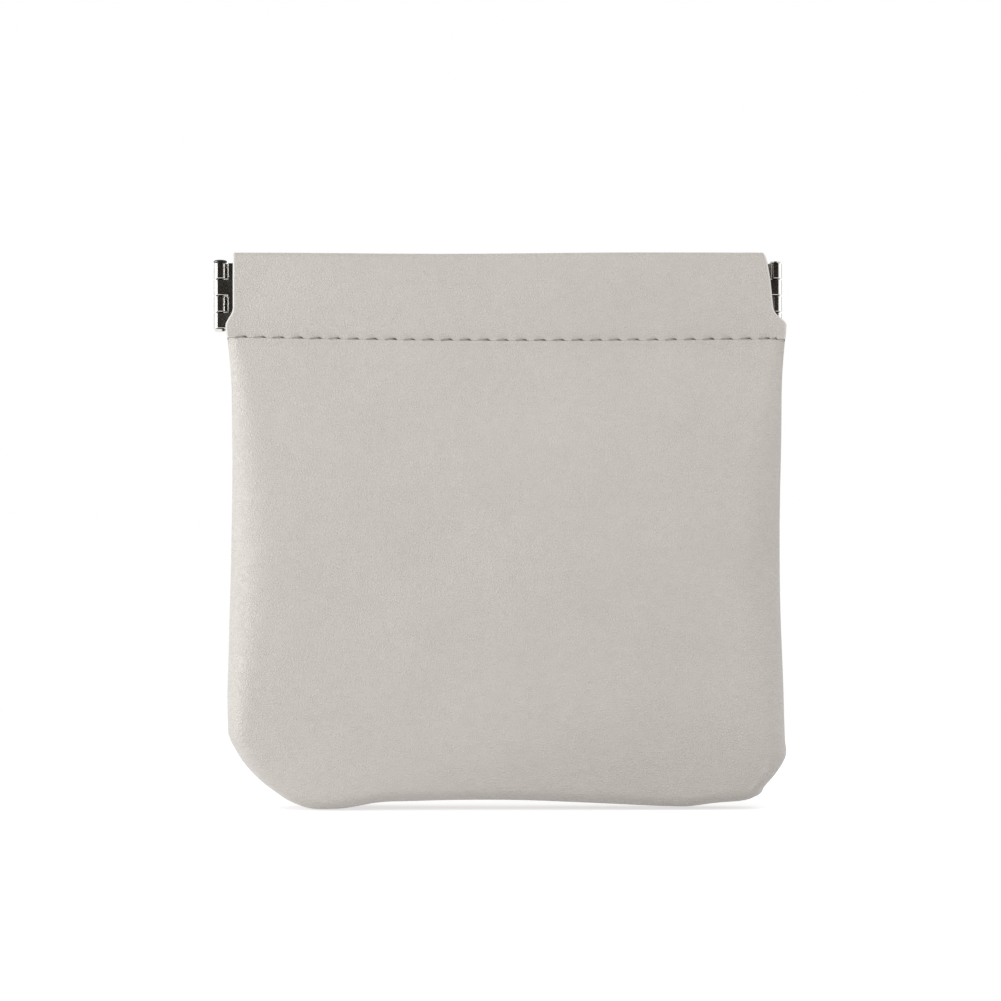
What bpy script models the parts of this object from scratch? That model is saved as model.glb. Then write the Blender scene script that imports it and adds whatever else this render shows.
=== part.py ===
"""Leather squeeze pouch with an internal flex frame.

A flat leather bag with boxed lower corners hangs under two leather casings. Each casing
holds one spring steel strip, and the two strips are joined at both ends by barrel hinges.
Squeezing the hinges towards each other bows the strips apart and opens the mouth; let go,
and the strips snap flat again. A strip flexes most at its middle, so each strip and its
casing are made as a left and a right length that meet there.

Metres, +Z up, the front faces -Y, and the origin is on the ground below the middle.
Run with: blender --background --python part.py
"""

import math

import bmesh
import bpy
from mathutils import Matrix, Vector

MM = 0.001

# The barrel hinges: two leaves with knuckles in turn on one pin.
PIN_SPAN = 111.1 * MM
FRAME_CENTRE_X = -0.53 * MM
PIN_RADIUS = 0.8 * MM
PIN_CLEARANCE = 0.1 * MM
PIN_HEAD_RADIUS = 1.25 * MM
PIN_HEAD_HEIGHT = 0.75 * MM
PIN_FOOT_RADIUS = 1.1 * MM
PIN_FOOT_HEIGHT = 0.3 * MM
PIN_END_GAP = 0.05 * MM
LEAF_THICKNESS = 0.4 * MM
LEAF_LENGTH = 12.0 * MM
KNUCKLES = 4
KNUCKLE_HEIGHT = 3.2 * MM
KNUCKLE_GAP = 0.12 * MM
CURL_DEGREES = 285.0
WINDOW_REACH = 1.9 * MM
FRONT_KNUCKLES = (0, 2)
BACK_KNUCKLES = (1, 3)

# The spring strips, each riveted to the leaves at its two ends.
STRIP_THICKNESS = 0.3 * MM
STRIP_HEIGHT = 12.4 * MM
STRIP_START = 3.6 * MM
STRIP_CORNER = 2.0 * MM
STRIP_TO_LEAF = 0.05 * MM
RIVET_FROM_PIN = 8.2 * MM
RIVET_SPACING = 6.4 * MM
RIVET_RADIUS = 0.8 * MM
RIVET_CLEARANCE = 0.1 * MM
RIVET_HEAD_RADIUS = 1.4 * MM
RIVET_HEAD_HEIGHT = 0.2 * MM
RIVET_HEAD_GAP = 0.04 * MM

# The casings, each a hem of the panel turned over the strip. Its leather is thinned to
# fit between the middle of the mouth and the hinge leaf.
MOUTH_GAP = 0.3 * MM
LINING_GAP = 0.05 * MM
RIVET_TO_CASING = 0.1 * MM
PINCH_GAP = 0.1 * MM
HEM_TO_HINGE = 2.65 * MM
PINCH_HEIGHT = 1.2 * MM
CASING_HEADROOM = 2.0 * MM
CASING_FLARE_HEIGHT = 5.8 * MM
LEFT_CASING_INSET = 2.8 * MM
RIGHT_CASING_INSET = 1.4 * MM
LEFT_CASING_SLANT = 0.0 * MM
RIGHT_CASING_SLANT = 1.2 * MM
LEFT_FLARE = 2.3 * MM
RIGHT_FLARE = 2.7 * MM
BARREL_GAP = 0.35 * MM
MIDDLE_GAP = 0.4 * MM

# The bag: two leather walls and a base, in front view and in side view.
BAG_HEIGHT = 93.0 * MM
BAG_LEATHER = 0.9 * MM
LEFT_BAG_INSET = 1.65 * MM
RIGHT_BAG_OVERHANG = 1.95 * MM
BAG_WAIST = 0.75 * MM
BAG_TOP_FLARE = 0.45 * MM
BAG_HALF_DEPTH = 9.0 * MM
WIDEST_HEIGHT = 16.0 * MM
DEPTH_POWER = 1.5
LOW_ROWS_POWER = 1.2
WALL_CROWN = 0.9 * MM
SIDE_ROUNDING = 1.4
ROUNDED_SHARE = 0.22
SEAM_GAP = 0.3 * MM
HEM_SPLIT = 0.6 * MM

# The boxed corners: how far each runs along the base and rises up the side.
LEFT_CORNER_RUN = 17.6 * MM
LEFT_CORNER_RISE = 17.0 * MM
LEFT_CORNER_POWER = 1.66
RIGHT_CORNER_RUN = 7.4 * MM
RIGHT_CORNER_RISE = 10.0 * MM
RIGHT_CORNER_POWER = 1.4

# The base: a shallow tray that stands on two lobes and arches up between them.
BASE_RIM_HEIGHT = 5.0 * MM
BASE_ROUNDING_SHARE = 0.92
BASE_RIM_SHARE = 0.1
BASE_POWER = 3.0
BASE_ARCH = 1.8 * MM
ARCH_REACH = 36.0 * MM
BASE_RIGHT_LIFT = 1.6 * MM
LIFT_FADE_HEIGHT = 24.0 * MM
BASE_FLAT = 0.25 * MM

# Finishes: base colour, roughness and metallic value.
GREIGE_LEATHER = ((0.56, 0.52, 0.48), 0.55, 0.0)
SPRING_STEEL = ((0.30, 0.29, 0.28), 0.30, 1.0)
NICKEL_PLATE = ((0.45, 0.43, 0.41), 0.25, 1.0)

FRONT, BACK = -1, 1
LEFT, RIGHT = -1, 1
SIDE_NAMES = {FRONT: "front", BACK: "back"}
END_NAMES = {LEFT: "left", RIGHT: "right"}

# Worked out from the sizes above.
PIN_X = {end: FRAME_CENTRE_X + end * PIN_SPAN / 2 for end in (LEFT, RIGHT)}
KNUCKLE_INNER_RADIUS = PIN_RADIUS + PIN_CLEARANCE
KNUCKLE_OUTER_RADIUS = KNUCKLE_INNER_RADIUS + LEAF_THICKNESS
HEM_LEATHER = KNUCKLE_INNER_RADIUS - LINING_GAP - MOUTH_GAP / 2
LEAF_Y = KNUCKLE_INNER_RADIUS + LEAF_THICKNESS / 2
STRIP_Y = KNUCKLE_OUTER_RADIUS + STRIP_TO_LEAF + STRIP_THICKNESS / 2
RIVET_HEAD_Y = STRIP_Y + STRIP_THICKNESS / 2 + RIVET_HEAD_GAP
LINING_Y = MOUTH_GAP / 2 + HEM_LEATHER / 2
COVER_Y = RIVET_HEAD_Y + RIVET_HEAD_HEIGHT + RIVET_TO_CASING + HEM_LEATHER / 2
PINCH_Y = LINING_Y + HEM_LEATHER + PINCH_GAP
HINGE_BOTTOM_Z = BAG_HEIGHT + HEM_TO_HINGE
HINGE_HEIGHT = KNUCKLES * KNUCKLE_HEIGHT + (KNUCKLES - 1) * KNUCKLE_GAP
HINGE_TOP_Z = HINGE_BOTTOM_Z + HINGE_HEIGHT
HINGE_MIDDLE_Z = HINGE_BOTTOM_Z + HINGE_HEIGHT / 2
CASING_FOOT_Z = BAG_HEIGHT + HEM_SPLIT / 2
CASING_TOP_Z = HINGE_TOP_Z + CASING_HEADROOM
WALL_TOP_Z = BAG_HEIGHT - HEM_SPLIT / 2
WALL_BOTTOM_Z = BASE_RIM_HEIGHT + SEAM_GAP / 2
BASE_TOP_Z = BASE_RIM_HEIGHT - SEAM_GAP / 2
WALL_TOP_HALF_DEPTH = PINCH_Y + HEM_LEATHER / 2
BAG_LEFT_X = PIN_X[LEFT] + LEFT_BAG_INSET
BAG_RIGHT_X = PIN_X[RIGHT] + RIGHT_BAG_OVERHANG


def clear_scene():
    """Remove every object that the scene holds."""
    for obj in list(bpy.data.objects):
        bpy.data.objects.remove(obj, do_unlink=True)


def new_collection(name):
    made = bpy.data.collections.new(name)
    bpy.context.scene.collection.children.link(made)
    return made


def new_material(name, finish):
    colour, roughness, metallic = finish
    made = bpy.data.materials.new(name)
    made.use_nodes = True
    shader = made.node_tree.nodes["Principled BSDF"]
    shader.inputs["Base Color"].default_value = (*colour, 1.0)
    shader.inputs["Roughness"].default_value = roughness
    shader.inputs["Metallic"].default_value = metallic
    return made


def ease(share):
    """Run from 0 to 1, level at both ends."""
    share = min(1.0, max(0.0, share))
    return share * share * (3.0 - 2.0 * share)


def new_carrier(name, place, collection, parent=None):
    """An empty on a joint's axis, which carries the pieces that move together."""
    made = bpy.data.objects.new(name, None)
    made.empty_display_size = 5 * MM
    collection.objects.link(made)
    made.parent = parent
    made.location = Vector(place) - world_place(parent)
    return made


def world_place(carrier):
    """Where a carrier is in the world; none of them is turned."""
    place = Vector((0.0, 0.0, 0.0))
    while carrier is not None:
        place += carrier.location
        carrier = carrier.parent
    return place


def add_piece(name, mesh, finish, carrier, place=None):
    """Link a piece under its carrier.

    A mesh drawn in the world's own places has no place given, and is moved to the carrier's
    origin. A mesh drawn about a point of its own is put there.
    """
    origin = world_place(carrier)
    if place is None:
        mesh.transform(Matrix.Translation(-origin))
        place = origin
    made = bpy.data.objects.new(name, mesh)
    mesh.materials.append(new_material(name + "_finish", finish))
    carrier.users_collection[0].objects.link(made)
    made.parent = carrier
    made.location = Vector(place) - origin
    return made


def grid_sheet(name, columns, rows, place, keep=None, close_ring=False):
    """A sheet of faces whose points are placed by place(u, v), with u and v from 0 to 1.

    keep(column, row) says which faces stay, and close_ring joins the edges that meet.
    """
    shape = bmesh.new()
    bmesh.ops.create_grid(shape, x_segments=columns, y_segments=rows, size=0.5)
    if keep is not None:
        spare = []
        for face in shape.faces:
            middle = face.calc_center_median()
            column = int((middle.x + 0.5) * columns)
            row = int((middle.y + 0.5) * rows)
            if not keep(column, row):
                spare.append(face)
        bmesh.ops.delete(shape, geom=spare, context="FACES")
    for point in shape.verts:
        point.co = Vector(place(point.co.x + 0.5, point.co.y + 0.5))
    if close_ring:
        bmesh.ops.remove_doubles(shape, verts=shape.verts, dist=0.01 * MM)
    bmesh.ops.recalc_face_normals(shape, faces=shape.faces)
    mesh = bpy.data.meshes.new(name)
    shape.to_mesh(mesh)
    shape.free()
    mesh.shade_smooth()
    mesh.set_sharp_from_angle(angle=math.radians(35.0))
    return mesh


def thicken(obj, thickness):
    """Give a sheet its thickness, half to each side."""
    shell = obj.modifiers.new("thickness", "SOLIDIFY")
    shell.thickness = thickness
    shell.offset = 0.0
    shell.use_even_offset = True


def turned_piece(name, profile, steps, finish, carrier, place):
    """A piece turned about Z from (radius, height) points, listed from the top down."""
    shape = bmesh.new()
    points = [shape.verts.new((radius, 0.0, height)) for radius, height in profile]
    for upper, lower in zip(points, points[1:]):
        shape.edges.new((upper, lower))
    mesh = bpy.data.meshes.new(name)
    shape.to_mesh(mesh)
    shape.free()
    obj = add_piece(name, mesh, finish, carrier, place)
    turn = obj.modifiers.new("turn", "SCREW")
    turn.axis = "Z"
    turn.steps = steps
    turn.render_steps = steps
    turn.use_merge_vertices = True
    turn.merge_threshold = 0.001 * MM
    return obj


def corner_inset(height, run, rise, power):
    """How far a boxed corner draws the side in at this height."""
    if height >= rise:
        return 0.0
    share = 1.0 - max(0.0, height) / rise
    return run * (1.0 - (1.0 - share**power) ** (1.0 / power))


def side_bulge(height):
    """How far the sides stand out: drawn in at the waist, flared below the casings."""
    up = min(1.0, max(0.0, height / BAG_HEIGHT))
    return BAG_TOP_FLARE * ease(5.0 * up - 4.0) - BAG_WAIST * math.sin(math.pi * up)


def left_edge(height):
    inset = corner_inset(height, LEFT_CORNER_RUN, LEFT_CORNER_RISE, LEFT_CORNER_POWER)
    return BAG_LEFT_X - side_bulge(height) + inset


def right_edge(height):
    inset = corner_inset(height, RIGHT_CORNER_RUN, RIGHT_CORNER_RISE, RIGHT_CORNER_POWER)
    return BAG_RIGHT_X + side_bulge(height) - inset


def half_depth(height):
    """Half the bag's outer depth: pinched under the casings and full near the base."""
    fall = (WALL_TOP_Z - height) / (WALL_TOP_Z - WIDEST_HEIGHT)
    fall = min(1.0, max(0.0, fall))
    share = 1.0 - (1.0 - fall) ** DEPTH_POWER
    return WALL_TOP_HALF_DEPTH + (BAG_HALF_DEPTH - WALL_TOP_HALF_DEPTH) * share


def base_lift(x, height):
    """The base arches up between its two lobes and lifts towards its right end."""
    lift = 0.0
    if abs(x) < ARCH_REACH:
        lift = BASE_ARCH * math.cos(math.pi * x / (2 * ARCH_REACH)) ** 2
    elif x > 0.0:
        lift = BASE_RIGHT_LIFT * ease((x - ARCH_REACH) / (BAG_RIGHT_X - ARCH_REACH))
    return lift * (1.0 - ease(height / LIFT_FADE_HEIGHT))


def bag_point(share, height, side):
    """A point of the bag's leather, in the middle of its thickness.

    share runs from the left side seam to the right one. Each end of the level section is a
    quarter ellipse that comes round to the seam, and the middle is slightly crowned.
    """
    inset = BAG_LEATHER / 2
    left = left_edge(height) + inset
    right = right_edge(height) - inset
    depth = half_depth(height) - inset
    rounding = SIDE_ROUNDING * depth
    start = math.asin(SEAM_GAP / 2 / depth)
    near = min(share, 1.0 - share)
    if near < ROUNDED_SHARE:
        angle = start + (math.pi / 2 - start) * near / ROUNDED_SHARE
        from_side = rounding * (1.0 - math.cos(angle)) / math.cos(start)
        out = depth * math.sin(angle)
    else:
        middle = (near - ROUNDED_SHARE) / (1.0 - 2 * ROUNDED_SHARE)
        from_side = rounding + (right - left - 2 * rounding) * middle
        out = depth
    x = left + from_side if share <= 0.5 else right - from_side
    up = height / WALL_TOP_Z
    crown = WALL_CROWN * math.sin(math.pi * min(1.0, up)) * math.sin(math.pi * share) ** 2
    return x, side * (out + crown), height + base_lift(x, height)


def add_wall(side, carrier):
    """One leather wall of the bag, from the fold at the base up to the hem."""

    def place(u, v):
        height = WALL_BOTTOM_Z + (WALL_TOP_Z - WALL_BOTTOM_Z) * v**LOW_ROWS_POWER
        return bag_point(u, height, side)

    name = SIDE_NAMES[side] + "_wall"
    obj = add_piece(name, grid_sheet(name, 26, 14, place), GREIGE_LEATHER, carrier)
    thicken(obj, BAG_LEATHER)


def add_base(carrier):
    """The base of the bag: flat where it stands, and turned up all round."""
    thick_half = BAG_LEATHER / 2
    turned_up = BASE_TOP_Z * BASE_ROUNDING_SHARE

    def place(u, v):
        side = FRONT if u < 0.5 else BACK
        share = 2 * u if u < 0.5 else 2 * (1.0 - u)
        out = min(1.0, v / (1.0 - BASE_RIM_SHARE))
        height = turned_up * (1.0 - (1.0 - out**BASE_POWER) ** (1.0 / BASE_POWER))
        up_rim = max(0.0, v - 1.0 + BASE_RIM_SHARE) / BASE_RIM_SHARE
        height += (BASE_TOP_Z - turned_up) * up_rim
        x, y, z = bag_point(share, height, side)
        if share < 0.0001 or share > 0.9999:
            y = 0.0
        raised = thick_half + z * (BASE_TOP_Z - thick_half) / BASE_TOP_Z
        flattened = max(thick_half, raised - BASE_FLAT * (1.0 - v))
        return x, y * out, flattened

    mesh = grid_sheet("base", 52, 10, place, close_ring=True)
    thicken(add_piece("base", mesh, GREIGE_LEATHER, carrier), BAG_LEATHER)


def casing_end_x(end, height, is_lining):
    """Where a casing ends, near the hinge, at this height."""
    inset = LEFT_CASING_INSET if end == LEFT else RIGHT_CASING_INSET
    slant = LEFT_CASING_SLANT if end == LEFT else RIGHT_CASING_SLANT
    flare = LEFT_FLARE if end == LEFT else RIGHT_FLARE
    up = (height - CASING_FOOT_Z) / (CASING_TOP_Z - CASING_FOOT_Z)
    from_pin = inset + slant * up
    from_pin -= flare * (1.0 - ease((height - CASING_FOOT_Z) / CASING_FLARE_HEIGHT))
    if is_lining:
        from_pin = max(from_pin, KNUCKLE_OUTER_RADIUS + BARREL_GAP)
    return PIN_X[end] - end * from_pin


def casing_section():
    """The hem's level-by-level section, in the middle of its leather.

    It goes up the lining, over the top and down the cover, and closes in to the stitches.
    The points are (distance from the mouth's middle plane, height, is it lining).
    """
    bend = (COVER_Y - LINING_Y) / 2
    bend_z = CASING_TOP_Z - HEM_LEATHER / 2 - bend
    channel_z = CASING_FOOT_Z + PINCH_HEIGHT
    open_z = HINGE_BOTTOM_Z
    middle_z = (open_z + bend_z) / 2
    points = [(LINING_Y, height, True) for height in (CASING_FOOT_Z, channel_z)]
    points += [(LINING_Y, open_z + (bend_z - open_z) * step / 4, True) for step in range(4)]
    arc_steps = 8
    for step in range(arc_steps + 1):
        angle = math.pi * step / arc_steps
        across = (LINING_Y + COVER_Y) / 2 - bend * math.cos(angle)
        points.append((across, bend_z + bend * math.sin(angle), step <= arc_steps / 2))
    points.append((COVER_Y, middle_z, False))
    flare_steps = 5
    for step in range(flare_steps + 1):
        down = step / flare_steps
        across = PINCH_Y + (COVER_Y - PINCH_Y) * (1.0 - ease(down))
        points.append((across, open_z + (channel_z - open_z) * down, False))
    points.append((PINCH_Y, CASING_FOOT_Z, False))
    return points


def add_casing(side, end, carrier):
    """One length of leather casing: a hem open at its hinge end and at the middle."""
    section = casing_section()
    last = len(section) - 1

    def place(u, v):
        across, height, is_lining = section[round(v * last)]
        outer_x = casing_end_x(end, height, is_lining)
        middle_x = FRAME_CENTRE_X + end * MIDDLE_GAP / 2
        return middle_x + (outer_x - middle_x) * u, side * across, height

    name = SIDE_NAMES[side] + "_" + END_NAMES[end] + "_casing"
    obj = add_piece(name, grid_sheet(name, 2, last, place), GREIGE_LEATHER, carrier)
    thicken(obj, HEM_LEATHER)


def knuckle_rows():
    """The heights that part the knuckles and the gaps between them, bottom to top."""
    heights = []
    for index in range(KNUCKLES):
        foot = HINGE_BOTTOM_Z + index * (KNUCKLE_HEIGHT + KNUCKLE_GAP)
        heights += [foot, foot + KNUCKLE_HEIGHT]
    return heights


def leaf_path(curl_steps):
    """The leaf's path in plan: along the plate, then round the pin.

    The points are (distance from the pin's axis into the frame, distance from the middle
    plane).
    """
    points = [(LEAF_LENGTH, LEAF_Y), (WINDOW_REACH, LEAF_Y)]
    for step in range(curl_steps + 1):
        angle = math.radians(90.0 + CURL_DEGREES * step / curl_steps)
        points.append((LEAF_Y * math.cos(angle), LEAF_Y * math.sin(angle)))
    return points


def add_leaf(side, end, carrier):
    """One hinge leaf: a stamped plate with two knuckles curled from its edge."""
    heights = knuckle_rows()
    path = leaf_path(16)
    last_row = len(heights) - 1
    last_column = len(path) - 1
    own_rows = [2 * index for index in (FRONT_KNUCKLES if side == FRONT else BACK_KNUCKLES)]

    def keep(column, row):
        return column == 0 or row in own_rows

    def place(u, v):
        along, across = path[round(u * last_column)]
        return PIN_X[end] - end * along, side * across, heights[round(v * last_row)]

    name = SIDE_NAMES[side] + "_" + END_NAMES[end] + "_leaf"
    mesh = grid_sheet(name, last_column, last_row, place, keep)
    obj = add_piece(name, mesh, NICKEL_PLATE, carrier)
    thicken(obj, LEAF_THICKNESS)
    return obj


def add_strip(side, end, carrier):
    """One length of spring strip, with rounded corners at its riveted end."""
    start = PIN_X[end] - end * STRIP_START
    middle = FRAME_CENTRE_X + end * MIDDLE_GAP / 2
    length = abs(middle - start)
    shape = bmesh.new()
    bmesh.ops.create_cube(shape, size=1.0)
    bmesh.ops.scale(shape, vec=(length, STRIP_THICKNESS, STRIP_HEIGHT), verts=shape.verts)
    corners = []
    for edge in shape.edges:
        first, second = edge.verts
        runs_across = abs(first.co.y - second.co.y) > STRIP_THICKNESS / 2
        if runs_across and first.co.x * end > 0.0:
            corners.append(edge)
    bmesh.ops.bevel(
        shape, geom=corners, offset=STRIP_CORNER, segments=4, profile=0.5, affect="EDGES"
    )
    name = SIDE_NAMES[side] + "_" + END_NAMES[end] + "_strip"
    mesh = bpy.data.meshes.new(name)
    shape.to_mesh(mesh)
    shape.free()
    place = ((start + middle) / 2, side * STRIP_Y, HINGE_MIDDLE_Z)
    return add_piece(name, mesh, SPRING_STEEL, carrier, place)


def rivet_places(end):
    """The two rivets of a strip's end, one above the other: name, x and height."""
    x = PIN_X[end] - end * RIVET_FROM_PIN
    return [
        ("lower", x, HINGE_MIDDLE_Z - RIVET_SPACING / 2),
        ("upper", x, HINGE_MIDDLE_Z + RIVET_SPACING / 2),
    ]


def add_rivet(name, side, x, height, carrier):
    """A rivet through strip and leaf: a low head on the strip, flush on the leaf."""
    head_top = RIVET_HEAD_Y + RIVET_HEAD_HEIGHT
    profile = [
        (0.0, head_top),
        (RIVET_HEAD_RADIUS * 0.75, head_top),
        (RIVET_HEAD_RADIUS, RIVET_HEAD_Y + RIVET_HEAD_HEIGHT * 0.3),
        (RIVET_HEAD_RADIUS, RIVET_HEAD_Y),
        (RIVET_RADIUS, RIVET_HEAD_Y),
        (RIVET_RADIUS, KNUCKLE_INNER_RADIUS),
        (0.0, KNUCKLE_INNER_RADIUS),
    ]
    obj = turned_piece(name, profile, 16, NICKEL_PLATE, carrier, (x, 0.0, height))
    obj.rotation_euler = (-side * math.radians(90.0), 0.0, 0.0)


def drill_rivet_holes(obj, end, cutters):
    """Cut the two rivet holes of one end through a leaf or a strip."""
    for _, x, height in rivet_places(end):
        bpy.ops.mesh.primitive_cylinder_add(
            vertices=16,
            radius=RIVET_RADIUS + RIVET_CLEARANCE,
            depth=4 * COVER_Y,
            location=(x, 0.0, height),
            rotation=(math.radians(90.0), 0.0, 0.0),
        )
        cutter = bpy.context.object
        cutter.name = obj.name + "_hole_cutter"
        for collection in list(cutter.users_collection):
            collection.objects.unlink(cutter)
        cutters.objects.link(cutter)
        cutter.hide_render = True
        cutter.display_type = "WIRE"
        cut = obj.modifiers.new("rivet_hole", "BOOLEAN")
        cut.operation = "DIFFERENCE"
        cut.solver = "EXACT"
        cut.object = cutter


def add_pin(end, carrier):
    """A hinge pin with a domed head above the knuckles and a peened foot below."""
    head_z = HINGE_TOP_Z + PIN_END_GAP
    foot_z = HINGE_BOTTOM_Z - PIN_END_GAP
    dome_steps = 5
    profile = []
    for step in range(dome_steps + 1):
        angle = math.pi / 2 * step / dome_steps
        radius = PIN_HEAD_RADIUS * math.sin(angle)
        profile.append((radius, head_z + PIN_HEAD_HEIGHT * math.cos(angle)))
    profile += [
        (PIN_RADIUS, head_z),
        (PIN_RADIUS, foot_z),
        (PIN_FOOT_RADIUS, foot_z),
        (PIN_FOOT_RADIUS * 0.8, foot_z - PIN_FOOT_HEIGHT),
        (0.0, foot_z - PIN_FOOT_HEIGHT),
    ]
    shifted = [(radius, height - HINGE_BOTTOM_Z) for radius, height in profile]
    place = (PIN_X[end], 0.0, HINGE_BOTTOM_Z)
    turned_piece(END_NAMES[end] + "_pin", shifted, 24, NICKEL_PLATE, carrier, place)


def add_frame_arm(side, end, carrier, cutters):
    """What moves as one between a hinge and the middle of one side of the mouth."""
    add_casing(side, end, carrier)
    leaf = add_leaf(side, end, carrier)
    drill_rivet_holes(leaf, end, cutters)
    strip = add_strip(side, end, carrier)
    drill_rivet_holes(strip, end, cutters)
    for level, x, height in rivet_places(end):
        name = "_".join((SIDE_NAMES[side], END_NAMES[end], level, "rivet"))
        add_rivet(name, side, x, height, carrier)


def add_mouth(bag, collection, cutters):
    """The flex frame and its casings, each piece on the joint that moves it.

    The right pin is carried by the front leaf, and the back leaf turns on it.
    """
    left_place = (PIN_X[LEFT], 0.0, HINGE_MIDDLE_Z)
    left_end = new_carrier("left_end", left_place, collection, bag)
    add_pin(LEFT, left_end)
    right_arms = {}
    for side in (FRONT, BACK):
        name = SIDE_NAMES[side]
        left_arm = new_carrier(name + "_left", left_place, collection, left_end)
        add_frame_arm(side, LEFT, left_arm, cutters)
        flex_place = (FRAME_CENTRE_X, side * MOUTH_GAP / 2, HINGE_MIDDLE_Z)
        right_arm = new_carrier(name + "_right", flex_place, collection, left_arm)
        add_frame_arm(side, RIGHT, right_arm, cutters)
        right_arms[side] = right_arm
    add_pin(RIGHT, right_arms[FRONT])


def add_bag(collection):
    """The leather bag: the base stands still, and each wall tilts about its fold."""
    bag = new_carrier("bag", (0.0, 0.0, 0.0), collection)
    add_base(bag)
    fold_y = half_depth(BASE_RIM_HEIGHT) + WALL_CROWN / 4
    for side in (FRONT, BACK):
        place = (0.0, side * fold_y, BASE_RIM_HEIGHT)
        carrier = new_carrier(SIDE_NAMES[side] + "_fold", place, collection, bag)
        add_wall(side, carrier)
    return bag


def main():
    clear_scene()
    collection = new_collection("squeeze_pouch")
    cutters = new_collection("cutters")
    bag = add_bag(collection)
    add_mouth(bag, collection, cutters)


main()
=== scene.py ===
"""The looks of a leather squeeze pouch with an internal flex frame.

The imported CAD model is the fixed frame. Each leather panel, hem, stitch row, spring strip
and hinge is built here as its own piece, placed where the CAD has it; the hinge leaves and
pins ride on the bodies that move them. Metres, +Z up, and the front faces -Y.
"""

from __future__ import annotations

import bisect
import logging
import math
from collections.abc import Callable, Sequence
from dataclasses import dataclass, field
from enum import Enum

import bmesh
import bpy
import numpy as np
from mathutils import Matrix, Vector, noise


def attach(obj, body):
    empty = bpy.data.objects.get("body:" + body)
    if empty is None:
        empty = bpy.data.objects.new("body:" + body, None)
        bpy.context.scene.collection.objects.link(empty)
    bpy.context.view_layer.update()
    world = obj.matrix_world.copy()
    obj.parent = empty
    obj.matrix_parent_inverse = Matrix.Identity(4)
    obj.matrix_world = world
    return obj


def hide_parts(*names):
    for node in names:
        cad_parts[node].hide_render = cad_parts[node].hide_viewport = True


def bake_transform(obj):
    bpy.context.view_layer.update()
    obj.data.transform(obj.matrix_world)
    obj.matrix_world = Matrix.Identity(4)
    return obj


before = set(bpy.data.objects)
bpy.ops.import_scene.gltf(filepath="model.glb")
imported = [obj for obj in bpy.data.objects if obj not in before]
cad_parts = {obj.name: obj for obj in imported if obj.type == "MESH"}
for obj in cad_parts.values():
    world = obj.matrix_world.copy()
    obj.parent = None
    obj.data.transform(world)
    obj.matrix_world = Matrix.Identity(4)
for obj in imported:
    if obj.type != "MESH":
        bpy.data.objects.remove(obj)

# Short names for the types that repeat
Pair = tuple[float, float]
Point = tuple[float, float, float]
Colour = tuple[float, float, float]
Socket = bpy.types.NodeSocket

LOG = logging.getLogger("squeeze_pouch")
MM = 0.001

# How sharply two faces have to meet to show as an edge, or to be rounded off
SHEET_EDGE_ANGLE = math.radians(50.0)
PLATE_EDGE_ANGLE = math.radians(35.0)
PIN_EDGE_ANGLE = math.radians(40.0)
ROUNDED_ANGLE = math.radians(40.0)


class NamedPlace(Enum):
    """A place on the pouch that the CAD's names speak of."""

    @property
    def word(self) -> str:
        """The word that the CAD's names use."""
        return self.name.lower()


class Side(NamedPlace):
    """The front of the pouch, towards -Y, or its back."""

    FRONT = -1
    BACK = 1


class End(NamedPlace):
    """The left or the right end of the pouch."""

    LEFT = -1
    RIGHT = 1


class LeatherFace(Enum):
    """Which face of the leather a polygon belongs to, as its material's place in the list."""

    GRAIN = 0
    FLESH = 1
    CUT_EDGE = 2


# Small curves and grids


def ease(share: float) -> float:
    """Run from 0 to 1, level at both ends.

    Args:
        share: Where along the run, clipped to 0 to 1.

    Returns:
        The eased share.
    """
    share = min(1.0, max(0.0, share))
    return share * share * (3.0 - 2.0 * share)


class Curve:
    """A smooth line through measured points, level beyond its two ends."""

    def __init__(self, *points: Pair) -> None:
        """Fit the line.

        Args:
            points: Pairs of place and value, in rising order of place.
        """
        self.places = [place for place, _ in points]
        self.values = [value for _, value in points]
        self.slopes = [float(slope) for slope in np.gradient(self.values, self.places)]

    def at(self, place: float) -> float:
        """Read the line.

        Args:
            place: The place to read at.

        Returns:
            The value there.
        """
        last = len(self.places) - 2
        index = min(last, max(0, bisect.bisect_right(self.places, place) - 1))
        run = self.places[index + 1] - self.places[index]
        share = min(1.0, max(0.0, (place - self.places[index]) / run))
        rest = 1.0 - share
        before = (1.0 + 2.0 * share) * self.values[index] + share * run * self.slopes[index]
        after = (1.0 + 2.0 * rest) * self.values[index + 1]
        after -= rest * run * self.slopes[index + 1]
        return rest * rest * before + share * share * after


def spread(first: float, last: float, count: int) -> list[float]:
    """Evenly spread values.

    Args:
        first: The first value.
        last: The last value.
        count: How many there are.

    Returns:
        The values, both ends among them.
    """
    return [float(value) for value in np.linspace(first, last, count)]


def grid_normals(points: np.ndarray) -> np.ndarray:
    """Unit normals of a grid of points.

    Args:
        points: The grid, rows by columns by 3.

    Returns:
        The normals, of the same shape.
    """
    down = np.gradient(points, axis=0)
    across = np.gradient(points, axis=1)
    normals = np.cross(across, down)
    lengths = np.linalg.norm(normals, axis=2, keepdims=True)
    return normals / np.maximum(lengths, 1e-12)


def grid_faces(rows: int, columns: int) -> list[tuple[int, ...]]:
    """Faces of a grid whose points are numbered row after row.

    Args:
        rows: How many rows of points it has.
        columns: How many points a row has.

    Returns:
        The faces, row after row.
    """
    faces = []
    for row in range(rows - 1):
        for column in range(columns - 1):
            first = row * columns + column
            faces.append((first, first + 1, first + columns + 1, first + columns))
    return faces


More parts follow.
